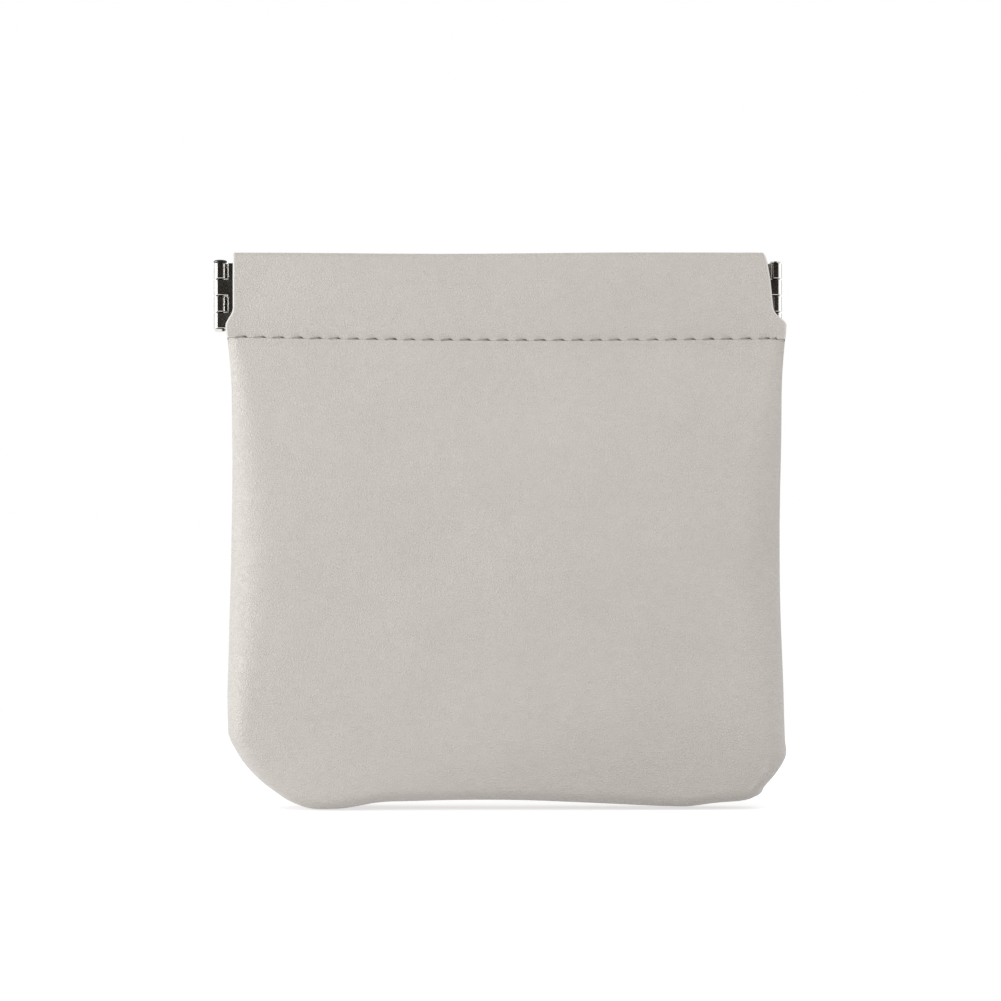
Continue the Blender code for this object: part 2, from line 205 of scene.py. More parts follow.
def shell_mesh(
    name: str, outer: np.ndarray, thickness: np.ndarray, outward: float
) -> bpy.types.Mesh:
    """Build a closed sheet with a grain face, a flesh face and cut edges.

    Args:
        name: The mesh's name.
        outer: The grain face as a grid, rows by columns by 3, in metres.
        thickness: How thick the sheet is at each point of the grid.
        outward: 1 where the grid's normals point out of the grain face, and otherwise -1.

    Returns:
        The mesh, with a LeatherFace number as each polygon's material.
    """
    rows, columns = outer.shape[:2]
    inner = outer - outward * grid_normals(outer) * thickness[:, :, None]
    inner[:, :, 2] = np.maximum(inner[:, :, 2], outer[:, :, 2].min())
    points = np.concatenate((outer.reshape(-1, 3), inner.reshape(-1, 3)))
    index = np.arange(rows * columns).reshape(rows, columns)
    quads = np.array(grid_faces(rows, columns))
    grain = quads if outward > 0 else quads[:, ::-1]
    flesh = grain[:, ::-1] + rows * columns
    border = np.concatenate((index[0, :], index[1:, -1], index[-1, -2::-1], index[-2:0:-1, 0]))
    following = np.roll(border, -1)
    far = rows * columns
    edge = np.stack((border, border + far, following + far, following), axis=1)
    if outward < 0:
        edge = edge[:, ::-1]
    faces = np.concatenate((grain, flesh, edge))
    mesh = bpy.data.meshes.new(name)
    mesh.from_pydata(points.tolist(), [], faces.tolist())
    kinds = np.zeros(len(faces), dtype=np.int32)
    kinds[len(grain) : len(grain) + len(flesh)] = LeatherFace.FLESH.value
    kinds[len(grain) + len(flesh) :] = LeatherFace.CUT_EDGE.value
    mesh.polygons.foreach_set("material_index", kinds)
    mesh.shade_smooth()
    mesh.set_sharp_from_angle(angle=SHEET_EDGE_ANGLE)
    mesh.update()
    return mesh


def ring_faces(rings: int, around: int, first: int = 0) -> list[tuple[int, ...]]:
    """Faces between closed rings of points that are numbered ring after ring.

    Args:
        rings: How many rings there are.
        around: How many points a ring has.
        first: The number of the first point.

    Returns:
        The faces, ring after ring.
    """
    faces = []
    for ring in range(rings - 1):
        start = first + ring * around
        for index in range(around):
            here = start + index
            after = start + (index + 1) % around
            faces.append((here, after, after + around, here + around))
    return faces


def add_mask(mesh: bpy.types.Mesh, name: str, values: Sequence[float]) -> None:
    """Store a number for each point of a mesh, for its material to read.

    Args:
        mesh: The mesh.
        name: What the material calls the numbers.
        values: One number for each point.
    """
    mask = mesh.attributes.new(name, "FLOAT", "POINT")
    mask.data.foreach_set("value", np.asarray(values, dtype=np.float32))


def link(name: str, data: bpy.types.ID) -> bpy.types.Object:
    """Put a mesh, a lamp or a camera into the scene.

    Args:
        name: The object's name.
        data: What it shows.

    Returns:
        The new object.
    """
    holder = bpy.data.objects.new(name, data)
    bpy.context.scene.collection.objects.link(holder)
    return holder


def link_piece(
    name: str, mesh: bpy.types.Mesh, finishes: Sequence[bpy.types.Material]
) -> bpy.types.Object:
    """Put a mesh into the scene with its materials.

    Args:
        name: The piece's name.
        mesh: Its mesh, in the frame's own places.
        finishes: Its materials, in the order of the polygons' numbers.

    Returns:
        The new object.
    """
    for finish in finishes:
        mesh.materials.append(finish)
    piece = link(name, mesh)
    return piece


def report(piece: bpy.types.Object) -> None:
    """Log a finished piece and the number of its polygons."""
    LOG.info("%s: %d polygons", piece.name, len(piece.data.polygons))


# Node wiring


class Wiring:
    """A node tree under construction."""

    def __init__(self, tree: bpy.types.NodeTree) -> None:
        """Start on an emptied tree.

        Args:
            tree: The tree to build in.
        """
        self.tree = tree
        tree.nodes.clear()

    def add(self, kind: str, **settings: object) -> bpy.types.Node:
        """Add a node.

        Args:
            kind: The node's type, such as ShaderNodeMix.
            settings: Values for the node's own properties.

        Returns:
            The node.
        """
        node = self.tree.nodes.new(kind)
        for key, value in settings.items():
            setattr(node, key, value)
        return node

    def join(self, source: Socket, target: Socket) -> None:
        """Link an output to an input."""
        self.tree.links.new(source, target)

    def maths(self, operation: str, first: object, second: object) -> Socket:
        """Add a Math node.

        Args:
            operation: What it does, such as MULTIPLY.
            first: A socket or a number.
            second: A socket or a number.

        Returns:
            Its output.
        """
        node = self.add("ShaderNodeMath", operation=operation)
        for socket, value in zip(node.inputs, (first, second)):
            self.feed(socket, value)
        return node.outputs[0]

    def blend(self, share: object, first: object, second: object) -> Socket:
        """Mix two colours.

        Args:
            share: How much of the second colour, as a socket or a number.
            first: A colour or a socket.
            second: A colour or a socket.

        Returns:
            The mixed colour.
        """
        node = self.add("ShaderNodeMix", data_type="RGBA")
        self.feed(node.inputs["Factor"], share)
        self.feed(node.inputs[6], first)
        self.feed(node.inputs[7], second)
        return node.outputs[2]

    def feed(self, socket: Socket, value: object) -> None:
        """Link a socket to an input, or set the input's own value.

        Args:
            socket: The input.
            value: A socket, a number or a colour.
        """
        if isinstance(value, Socket):
            self.join(value, socket)
        elif isinstance(value, (tuple, list)) and len(value) == 3 and socket.type == "RGBA":
            socket.default_value = (*value, 1.0)
        else:
            socket.default_value = value

    def bump(self, height: Socket, depth: float) -> Socket:
        """Add a Bump node.

        Args:
            height: The relief, from 0 to 1.
            depth: How deep it is, in metres.

        Returns:
            The bent normal.
        """
        node = self.add("ShaderNodeBump")
        node.inputs["Distance"].default_value = depth
        self.join(height, node.inputs["Height"])
        return node.outputs["Normal"]

    def noise(self, place: Socket, scale: object, detail: float) -> bpy.types.Node:
        """Add a Noise Texture node.

        Args:
            place: Where the texture is read.
            scale: Its scale, as a socket or a number.
            detail: How many finer layers it has.

        Returns:
            The node.
        """
        node = self.add("ShaderNodeTexNoise")
        self.join(place, node.inputs["Vector"])
        self.feed(node.inputs["Scale"], scale)
        node.inputs["Detail"].default_value = detail
        return node

    def ramp(self, source: Socket, low: float, high: float) -> Socket:
        """Stretch a value so that low becomes 0 and high becomes 1, clipped.

        Args:
            source: The value.
            low: What becomes 0.
            high: What becomes 1.

        Returns:
            The stretched value.
        """
        node = self.add("ShaderNodeMapRange", clamp=True)
        self.join(source, node.inputs["Value"])
        node.inputs["From Min"].default_value = low
        node.inputs["From Max"].default_value = high
        return node.outputs["Result"]


class EffectGroup:
    """A shader node group that several materials place with their own values."""

    name: str = ""
    inputs: tuple[tuple[str, str, object], ...] = ()
    outputs: tuple[tuple[str, str], ...] = ()

    def __init__(self) -> None:
        """Build the group once."""
        self.tree = bpy.data.node_groups.new(self.name, "ShaderNodeTree")
        for label, kind, value in self.inputs:
            socket = self.tree.interface.new_socket(label, in_out="INPUT", socket_type=kind)
            if value is not None:
                socket.default_value = value
        for label, kind in self.outputs:
            self.tree.interface.new_socket(label, in_out="OUTPUT", socket_type=kind)
        wiring = Wiring(self.tree)
        entry = wiring.add("NodeGroupInput")
        exit_node = wiring.add("NodeGroupOutput")
        self.fill(wiring, entry, exit_node)

    def fill(self, wiring: Wiring, entry: bpy.types.Node, exit_node: bpy.types.Node) -> None:
        """Wire the group's inside; each effect has its own.

        Args:
            wiring: The group's tree.
            entry: The node with the group's inputs.
            exit_node: The node with the group's outputs.
        """
        raise NotImplementedError

    def place(self, wiring: Wiring, **values: object) -> bpy.types.Node:
        """Put the group into a material.

        Args:
            wiring: The material's tree.
            values: A socket or a value for each input, with _ for a space in its name.

        Returns:
            The group's node.
        """
        node = wiring.add("ShaderNodeGroup")
        node.node_tree = self.tree
        for key, value in values.items():
            wiring.feed(node.inputs[key.replace("_", " ").title()], value)
        return node


class HideGrain(EffectGroup):
    """Fine leather grain: small soft cells with hair pores between them."""

    name = "hide_grain"
    inputs = (
        ("Place", "NodeSocketVector", None),
        ("Cells Per Metre", "NodeSocketFloat", 2400.0),
        ("Pores", "NodeSocketFloat", 0.35),
    )
    outputs = (("Height", "NodeSocketFloat"), ("Hollows", "NodeSocketFloat"))
    warp_scale = 0.4
    warp_reach = 0.4 * MM
    crease_width = 0.32
    fine_scale = 2.3
    pore_scale = 0.55
    pore_rim = 0.16
    pore_floor = 0.05
    crease_share = 0.6
    fine_share = 0.5

    def fill(self, wiring: Wiring, entry: bpy.types.Node, exit_node: bpy.types.Node) -> None:
        """Wire warped cells, a finer crackle and pores into one height.

        Args:
            wiring: The group's tree.
            entry: The node with the group's inputs.
            exit_node: The node with the group's outputs.
        """
        place = entry.outputs["Place"]
        scale = entry.outputs["Cells Per Metre"]
        warp = wiring.noise(place, wiring.maths("MULTIPLY", scale, self.warp_scale), 2.0)
        shifted = wiring.add("ShaderNodeVectorMath", operation="MULTIPLY_ADD")
        wiring.join(warp.outputs["Color"], shifted.inputs[0])
        shifted.inputs[1].default_value = (self.warp_reach,) * 3
        wiring.join(place, shifted.inputs[2])
        cells = wiring.add("ShaderNodeTexVoronoi", feature="DISTANCE_TO_EDGE")
        wiring.join(shifted.outputs[0], cells.inputs["Vector"])
        wiring.join(scale, cells.inputs["Scale"])
        crease = wiring.ramp(cells.outputs["Distance"], 0.0, self.crease_width)
        fine = wiring.noise(place, wiring.maths("MULTIPLY", scale, self.fine_scale), 3.0)
        pores = wiring.add("ShaderNodeTexVoronoi", feature="F1")
        wiring.join(place, pores.inputs["Vector"])
        wiring.join(wiring.maths("MULTIPLY", scale, self.pore_scale), pores.inputs["Scale"])
        hollow = wiring.ramp(pores.outputs["Distance"], self.pore_rim, self.pore_floor)
        ripple = wiring.maths("MULTIPLY", fine.outputs["Fac"], self.fine_share)
        raised = wiring.maths("MULTIPLY", crease, self.crease_share)
        height = wiring.maths("ADD", raised, ripple)
        pitted = wiring.maths("MULTIPLY", hollow, entry.outputs["Pores"])
        wiring.join(wiring.maths("SUBTRACT", height, pitted), exit_node.inputs["Height"])
        shade = wiring.maths("MULTIPLY", wiring.maths("SUBTRACT", 1.0, crease), self.crease_share)
        shade = wiring.maths("MAXIMUM", shade, pitted)
        wiring.join(shade, exit_node.inputs["Hollows"])


class SoftMottle(EffectGroup):
    """Slow, faint drifts of colour, as in dyed hide, thread or worn plating."""

    name = "soft_mottle"
    inputs = (
        ("Place", "NodeSocketVector", None),
        ("Colour", "NodeSocketColor", (0.5, 0.5, 0.5, 1.0)),
        ("Drift Colour", "NodeSocketColor", (0.4, 0.4, 0.4, 1.0)),
        ("Patches Per Metre", "NodeSocketFloat", 40.0),
        ("Strength", "NodeSocketFloat", 0.3),
    )
    outputs = (("Colour", "NodeSocketColor"),)
    quick_scale = 9.0
    quick_share = 0.4
    slow_share = 0.6
    drift_low = 0.35
    drift_high = 0.65

    def fill(self, wiring: Wiring, entry: bpy.types.Node, exit_node: bpy.types.Node) -> None:
        """Wire two sizes of noise into a share of the drift colour.

        Args:
            wiring: The group's tree.
            entry: The node with the group's inputs.
            exit_node: The node with the group's outputs.
        """
        place, scale = entry.outputs["Place"], entry.outputs["Patches Per Metre"]
        slow = wiring.noise(place, scale, 3.0)
        quick = wiring.noise(place, wiring.maths("MULTIPLY", scale, self.quick_scale), 4.0)
        slow_part = wiring.maths("MULTIPLY", slow.outputs["Fac"], self.slow_share)
        quick_part = wiring.maths("MULTIPLY", quick.outputs["Fac"], self.quick_share)
        both = wiring.maths("ADD", slow_part, quick_part)
        drift = wiring.ramp(both, self.drift_low, self.drift_high)
        share = wiring.maths("MULTIPLY", drift, entry.outputs["Strength"])
        colour = wiring.blend(share, entry.outputs["Colour"], entry.outputs["Drift Colour"])
        wiring.join(colour, exit_node.inputs["Colour"])


class EdgeWearHighlightAndShade(EffectGroup):
    """Scuffed ridges, on metal also painted highlight, and painted shade in hollows, from how
    sharply the surface turns.
    """

    name = "edge_wear"
    inputs = (
        ("Colour", "NodeSocketColor", (0.5, 0.5, 0.5, 1.0)),
        ("Rubbed Colour", "NodeSocketColor", (0.7, 0.7, 0.7, 1.0)),
        ("Soiled Colour", "NodeSocketColor", (0.3, 0.3, 0.3, 1.0)),
        ("Rubbing", "NodeSocketFloat", 0.5),
        ("Soiling", "NodeSocketFloat", 0.5),
    )
    outputs = (("Colour", "NodeSocketColor"),)
    ridge_from = 0.52
    ridge_full = 0.6
    hollow_from = 0.49
    hollow_full = 0.42

    def fill(self, wiring: Wiring, entry: bpy.types.Node, exit_node: bpy.types.Node) -> None:
        """Wire the turn of the surface to the two colours.

        Args:
            wiring: The group's tree.
            entry: The node with the group's inputs.
            exit_node: The node with the group's outputs.
        """
        turn = wiring.add("ShaderNodeNewGeometry").outputs["Pointiness"]
        ridge = wiring.ramp(turn, self.ridge_from, self.ridge_full)
        hollow = wiring.ramp(turn, self.hollow_from, self.hollow_full)
        # Ridges get lighter as scuffing, and on metal also as painted highlight; hollows get darker
        # as painted shade.
        lighter_ridges = wiring.maths("MULTIPLY", ridge, entry.outputs["Rubbing"])
        shaded_hollows = wiring.maths("MULTIPLY", hollow, entry.outputs["Soiling"])
        colour = wiring.blend(lighter_ridges, entry.outputs["Colour"], entry.outputs["Rubbed Colour"])
        colour = wiring.blend(shaded_hollows, colour, entry.outputs["Soiled Colour"])
        wiring.join(colour, exit_node.inputs["Colour"])


class HandlingMarks(EffectGroup):
    """Uneven gloss from handling: faint smears and fine hair scratches."""

    name = "handling_marks"
    inputs = (
        ("Place", "NodeSocketVector", None),
        ("Roughness", "NodeSocketFloat", 0.4),
        ("Smears", "NodeSocketFloat", 0.1),
        ("Scratch Direction", "NodeSocketVector", (1.0, 1.0, 1.0)),
    )
    outputs = (("Roughness", "NodeSocketFloat"), ("Height", "NodeSocketFloat"))
    smears_per_metre = 180.0
    hairs_per_metre = 1500.0

    def fill(self, wiring: Wiring, entry: bpy.types.Node, exit_node: bpy.types.Node) -> None:
        """Wire smears into the roughness and scratches into a height.

        Args:
            wiring: The group's tree.
            entry: The node with the group's inputs.
            exit_node: The node with the group's outputs.
        """
        smear = wiring.noise(entry.outputs["Place"], self.smears_per_metre, 5.0)
        centred = wiring.maths("SUBTRACT", smear.outputs["Fac"], 0.5)
        change = wiring.maths("MULTIPLY", centred, entry.outputs["Smears"])
        rough = wiring.maths("ADD", entry.outputs["Roughness"], change)
        wiring.join(rough, exit_node.inputs["Roughness"])
        stretched = wiring.add("ShaderNodeVectorMath", operation="MULTIPLY")
        wiring.join(entry.outputs["Place"], stretched.inputs[0])
        wiring.join(entry.outputs["Scratch Direction"], stretched.inputs[1])
        hair = wiring.noise(stretched.outputs[0], self.hairs_per_metre, 4.0)
        wiring.join(hair.outputs["Fac"], exit_node.inputs["Height"])


@dataclass
class EffectSet:
    """The node groups that the materials share."""

    grain: HideGrain = field(default_factory=HideGrain)
    mottle: SoftMottle = field(default_factory=SoftMottle)
    wear_highlight_and_shade: EdgeWearHighlightAndShade = field(default_factory=EdgeWearHighlightAndShade)
    marks: HandlingMarks = field(default_factory=HandlingMarks)


def start_material(
    name: str, kind: str = "ShaderNodeBsdfPrincipled"
) -> tuple[bpy.types.Material, Wiring, bpy.types.Node]:
    """Begin a material.

    Args:
        name: Its name.
        kind: The type of its last shader.

    Returns:
        The material, its wiring and its last shader, linked to the output.
    """
    material = bpy.data.materials.new(name)
    material.use_nodes = True
    wiring = Wiring(material.node_tree)
    shader = wiring.add(kind)
    exit_node = wiring.add("ShaderNodeOutputMaterial")
    wiring.join(shader.outputs[0], exit_node.inputs["Surface"])
    return material, wiring, shader


@dataclass(frozen=True)
class LeatherFinish:
    """Smooth dyed hide with fine grain, or one of its other two faces."""

    name: str
    colour: Colour
    deep_colour: Colour
    rubbed_colour: Colour
    roughness: float = 0.47
    cells_per_metre: float = 1900.0
    grain_depth: float = 0.13 * MM
    hollow_share: float = 0.14
    crease_share: float = 0.6
    specular: float = 0.5
    sheen: float = 0.12
    patches_per_metre: float = 55.0
    mottling: float = 0.16
    rubbing: float = 0.35
    soiling: float = 0.25
    smears: float = 0.12

    def make(self, effects: EffectSet) -> bpy.types.Material:
        """Build the material.

        Args:
            effects: The shared node groups.

        Returns:
            The material.
        """
        material, wiring, shader = start_material(self.name)
        place = wiring.add("ShaderNodeTexCoord").outputs["Object"]
        mottled = effects.mottle.place(
            wiring,
            place=place,
            colour=self.colour,
            drift_colour=self.deep_colour,
            patches_per_metre=self.patches_per_metre,
            strength=self.mottling,
        )
        grain = effects.grain.place(wiring, place=place, cells_per_metre=self.cells_per_metre)
        share = wiring.maths("MULTIPLY", grain.outputs["Hollows"], self.hollow_share)
        grained = wiring.blend(share, mottled.outputs["Colour"], self.deep_colour)
        # Lighter ridges from scuffing; darker hollows as painted shade.
        with_ridges_and_hollows = effects.wear_highlight_and_shade.place(
            wiring,
            colour=grained,
            rubbed_colour=self.rubbed_colour,
            soiled_colour=self.deep_colour,
            rubbing=self.rubbing,
            soiling=self.soiling,
        )
        # The crease mask paints shade into seams, stitch puckers and the tongue under the hem.
        crease = wiring.add("ShaderNodeAttribute", attribute_name="crease").outputs["Fac"]
        creased = wiring.maths("MULTIPLY", crease, self.crease_share)
        colour = wiring.blend(creased, with_ridges_and_hollows.outputs["Colour"], self.deep_colour)
        wiring.join(colour, shader.inputs["Base Color"])
        marks = effects.marks.place(
            wiring,
            place=place,
            roughness=self.roughness,
            smears=self.smears,
        )
        wiring.join(marks.outputs["Roughness"], shader.inputs["Roughness"])
        relief = wiring.bump(grain.outputs["Height"], self.grain_depth)
        wiring.join(relief, shader.inputs["Normal"])
        shader.inputs["Specular IOR Level"].default_value = self.specular
        shader.inputs["Sheen Weight"].default_value = self.sheen
        return material


@dataclass(frozen=True)
class ThreadFinish:
    """Waxed thread with a twist."""

    name: str
    colour: Colour
    deep_colour: Colour
    patches_per_metre: float = 500.0
    mottling: float = 0.5
    roughness: float = 0.55
    smears: float = 0.2
    fibre_direction: Point = (1.0, 6.0, 6.0)
    fibre_depth: float = 0.03 * MM
    sheen: float = 0.15

    def make(self, effects: EffectSet) -> bpy.types.Material:
        """Build the material.

        Args:
            effects: The shared node groups.

        Returns:
            The material.
        """
        material, wiring, shader = start_material(self.name)
        place = wiring.add("ShaderNodeTexCoord").outputs["Object"]
        mottled = effects.mottle.place(
            wiring,
            place=place,
            colour=self.colour,
            drift_colour=self.deep_colour,
            patches_per_metre=self.patches_per_metre,
            strength=self.mottling,
        )
        # The crease mask paints shade between the plies, at the thread's ends and where it dives
        # into the leather.
        groove = wiring.add("ShaderNodeAttribute", attribute_name="crease").outputs["Fac"]
        colour = wiring.blend(groove, mottled.outputs["Colour"], self.deep_colour)
        wiring.join(colour, shader.inputs["Base Color"])
        fibres = effects.marks.place(
            wiring,
            place=place,
            roughness=self.roughness,
            smears=self.smears,
            scratch_direction=self.fibre_direction,
        )
        wiring.join(fibres.outputs["Roughness"], shader.inputs["Roughness"])
        relief = wiring.bump(fibres.outputs["Height"], self.fibre_depth)
        wiring.join(relief, shader.inputs["Normal"])
        shader.inputs["Sheen Weight"].default_value = self.sheen
        return material


@dataclass(frozen=True)
class MetalFinish:
    """Plated or brushed metal with faint scratches, lighter edges as scuffing and painted
    highlight, and darker hollows as painted shade.
    """

    name: str
    colour: Colour
    drift_colour: Colour
    rubbed_colour: Colour
    roughness: float
    scratch_direction: Point
    scratch_depth: float
    patches_per_metre: float = 220.0
    mottling: float = 0.45
    rubbing: float = 0.9
    soiling: float = 0.6
    smears: float = 0.14

    def make(self, effects: EffectSet) -> bpy.types.Material:
        """Build the material.

        Args:
            effects: The shared node groups.

        Returns:
            The material.
        """
        material, wiring, shader = start_material(self.name)
        place = wiring.add("ShaderNodeTexCoord").outputs["Object"]
        mottled = effects.mottle.place(
            wiring,
            place=place,
            colour=self.colour,
            drift_colour=self.drift_colour,
            patches_per_metre=self.patches_per_metre,
            strength=self.mottling,
        )
        # Lighter edges from scuffing and as painted highlight; darker hollows as painted shade.
        with_ridges_and_hollows = effects.wear_highlight_and_shade.place(
            wiring,
            colour=mottled.outputs["Colour"],
            rubbed_colour=self.rubbed_colour,
            soiled_colour=self.drift_colour,
            rubbing=self.rubbing,
            soiling=self.soiling,
        )
        wiring.join(with_ridges_and_hollows.outputs["Colour"], shader.inputs["Base Color"])
        marks = effects.marks.place(
            wiring,
            place=place,
            roughness=self.roughness,
            smears=self.smears,
            scratch_direction=self.scratch_direction,
        )
        wiring.join(marks.outputs["Roughness"], shader.inputs["Roughness"])
        relief = wiring.bump(marks.outputs["Height"], self.scratch_depth)
        wiring.join(relief, shader.inputs["Normal"])
        shader.inputs["Metallic"].default_value = 1.0
        return material


@dataclass
class FinishSet:
    """Every finish of the pouch."""

    effects: EffectSet = field(default_factory=EffectSet)
    grain: bpy.types.Material = field(init=False)
    flesh: bpy.types.Material = field(init=False)
    cut_edge: bpy.types.Material = field(init=False)
    thread: bpy.types.Material = field(init=False)
    nickel: bpy.types.Material = field(init=False)
    pin_steel: bpy.types.Material = field(init=False)
    spring: bpy.types.Material = field(init=False)

    def __post_init__(self) -> None:
        """Build each material once."""
        self.grain = LeatherFinish(
            "greige_grain_leather",
            colour=(0.56, 0.522, 0.484),
            deep_colour=(0.36, 0.325, 0.29),
            rubbed_colour=(0.66, 0.63, 0.59),
        ).make(self.effects)
        self.flesh = LeatherFinish(
            "greige_flesh_side",
            colour=(0.50, 0.452, 0.40),
            deep_colour=(0.33, 0.285, 0.24),
            rubbed_colour=(0.58, 0.53, 0.47),
            roughness=0.85,
            cells_per_metre=1500.0,
            grain_depth=0.04 * MM,
            hollow_share=0.25,
            specular=0.2,
            sheen=0.35,
        ).make(self.effects)
        self.cut_edge = LeatherFinish(
            "greige_cut_edge",
            colour=(0.70, 0.675, 0.645),
            deep_colour=(0.50, 0.47, 0.43),
            rubbed_colour=(0.78, 0.76, 0.73),
            roughness=0.7,
            cells_per_metre=3500.0,
            grain_depth=0.03 * MM,
            hollow_share=0.2,
            specular=0.3,
        ).make(self.effects)
        # The thread is darker than the leather, partly as painted shade of the sunk thread; its
        # deep colour is painted shade.
        self.thread = ThreadFinish(
            "greige_thread", colour=(0.40, 0.37, 0.335), deep_colour=(0.055, 0.047, 0.04)
        ).make(self.effects)
        self.nickel = MetalFinish(
            "nickel_plate",
            colour=(0.62, 0.60, 0.57),
            drift_colour=(0.50, 0.48, 0.45),
            rubbed_colour=(0.86, 0.85, 0.83),
            roughness=0.16,
            scratch_direction=(1.0, 1.0, 0.08),
            scratch_depth=0.003 * MM,
        ).make(self.effects)
        # Near-black steel: partly a painted reflection of the dark surroundings that the pin
        # mirrors.
        self.pin_steel = MetalFinish(
            "dark_pin_steel",
            colour=(0.055, 0.051, 0.048),
            drift_colour=(0.035, 0.032, 0.03),
            rubbed_colour=(0.26, 0.25, 0.24),
            roughness=0.32,
            scratch_direction=(1.0, 1.0, 0.3),
            scratch_depth=0.005 * MM,
        ).make(self.effects)
        self.spring = MetalFinish(
            "brushed_spring_steel",
            colour=(0.30, 0.29, 0.28),
            drift_colour=(0.22, 0.21, 0.20),
            rubbed_colour=(0.5, 0.49, 0.47),
            roughness=0.32,
            scratch_direction=(0.05, 1.0, 1.0),
            scratch_depth=0.008 * MM,
        ).make(self.effects)

    def leather(self) -> list[bpy.types.Material]:
        """The three faces of the leather, in the order of LeatherFace."""
        return [self.grain, self.flesh, self.cut_edge]


# Forms


@dataclass(frozen=True)
class FrameForm:
    """Where the hinges, strips and hems of the mouth are, as the CAD has them."""

    pin_span: float = 111.1 * MM
    centre_x: float = -0.53 * MM
    pin_radius: float = 0.8 * MM
    foot_radius: float = 1.1 * MM
    pin_end_gap: float = 0.05 * MM
    leaf_thickness: float = 0.4 * MM
    leaf_length: float = 12.0 * MM
    knuckles: int = 4
    knuckle_height: float = 3.2 * MM
    knuckle_gap: float = 0.12 * MM
    knuckle_inner_radius: float = 0.9 * MM
    hinge_bottom: float = 95.65 * MM
    strip_y: float = 1.5 * MM
    strip_thickness: float = 0.3 * MM
    strip_height: float = 12.4 * MM
    strip_start: float = 3.6 * MM
    hem_top: float = 110.81 * MM
    stiff_length: float = 13.0 * MM

    @property
    def hinge_top(self) -> float:
        """The height of the knuckles' top."""
        gaps = (self.knuckles - 1) * self.knuckle_gap
        return self.hinge_bottom + self.knuckles * self.knuckle_height + gaps

    @property
    def hinge_middle(self) -> float:
        """The height of the middle of the hinges."""
        return (self.hinge_bottom + self.hinge_top) / 2

    def pin_x(self, end: End) -> float:
        """Where an end's pin stands."""
        return self.centre_x + end.value * self.pin_span / 2

    def pin_place(self, end: End) -> Point:
        """The middle of an end's pin."""
        return (self.pin_x(end), 0.0, self.hinge_middle)

    def bend_place(self, end: End) -> Point:
        """Where the springy part of a side begins, just past the hinge leaf."""
        x, y, z = self.pin_place(end)
        return (x - end.value * self.stiff_length, y, z)

    def bend_with_frame(self, piece: bpy.types.Object, side: Side) -> None:
        """Bake a piece's transform into its mesh; it is not bowed with the flex frame.

        Args:
            piece: The finished piece.
            side: Not used.
        """
        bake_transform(piece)

    def bowed(self, x: float, swing: float) -> Pair:
        """Where a point of a side goes when both of its arms swing out.

        Args:
            x: Its place along the side at rest.
            swing: The swing in radians.

        Returns:
            Its new place along the mouth, and how far out it has moved.
        """
        start, end = self.bend_place(End.LEFT)[0], self.bend_place(End.RIGHT)[0]
        turn = swing * (2.0 * ease((x - start) / (end - start)) - 1.0)
        along = x - self.centre_x
        out = self.pin_span / 2 * math.sin(swing) - along * math.sin(turn)
        return self.centre_x + along * math.cos(turn), out


@dataclass(frozen=True)
class StitchLine:
    """The row of stitches that closes the hems, and so where hem and panel part."""

    first_x: float = -51.75 * MM
    pitch: float = 3.728 * MM
    count: int = 29
    left_height: float = 93.98 * MM
    right_drop: float = 0.34 * MM
    sag: float = 0.5 * MM
    reach: float = 54.5 * MM
    past_ends: float = 0.6
    pull_height: float = 1.1 * MM
    pull_between: float = 0.35

    def height(self, x: float) -> float:
        """How high the stitches are.

        Args:
            x: The place along the row.

        Returns:
            The height.
        """
        share = min(1.0, max(0.0, (x + self.reach) / (2 * self.reach)))
        dip = self.sag * math.sin(math.pi * share) + self.right_drop * share
        return self.left_height - dip

    def pull(self, x: float, above: float) -> float:
        """How hard the thread pulls the leather in at a place.

        Args:
            x: The place along the row.
            above: How far above the row it is.

        Returns:
            0 away from the stitches, and 1 where the thread pulls most.
        """
        phase = (x - self.first_x) / self.pitch
        if phase < -self.past_ends or phase > self.count - 1 + self.past_ends:
            return 0.0
        along = 0.5 + 0.5 * math.cos(2 * math.pi * phase)
        along = self.pull_between + (1.0 - self.pull_between) * along
        return along * math.exp(-((above / self.pull_height) ** 2))


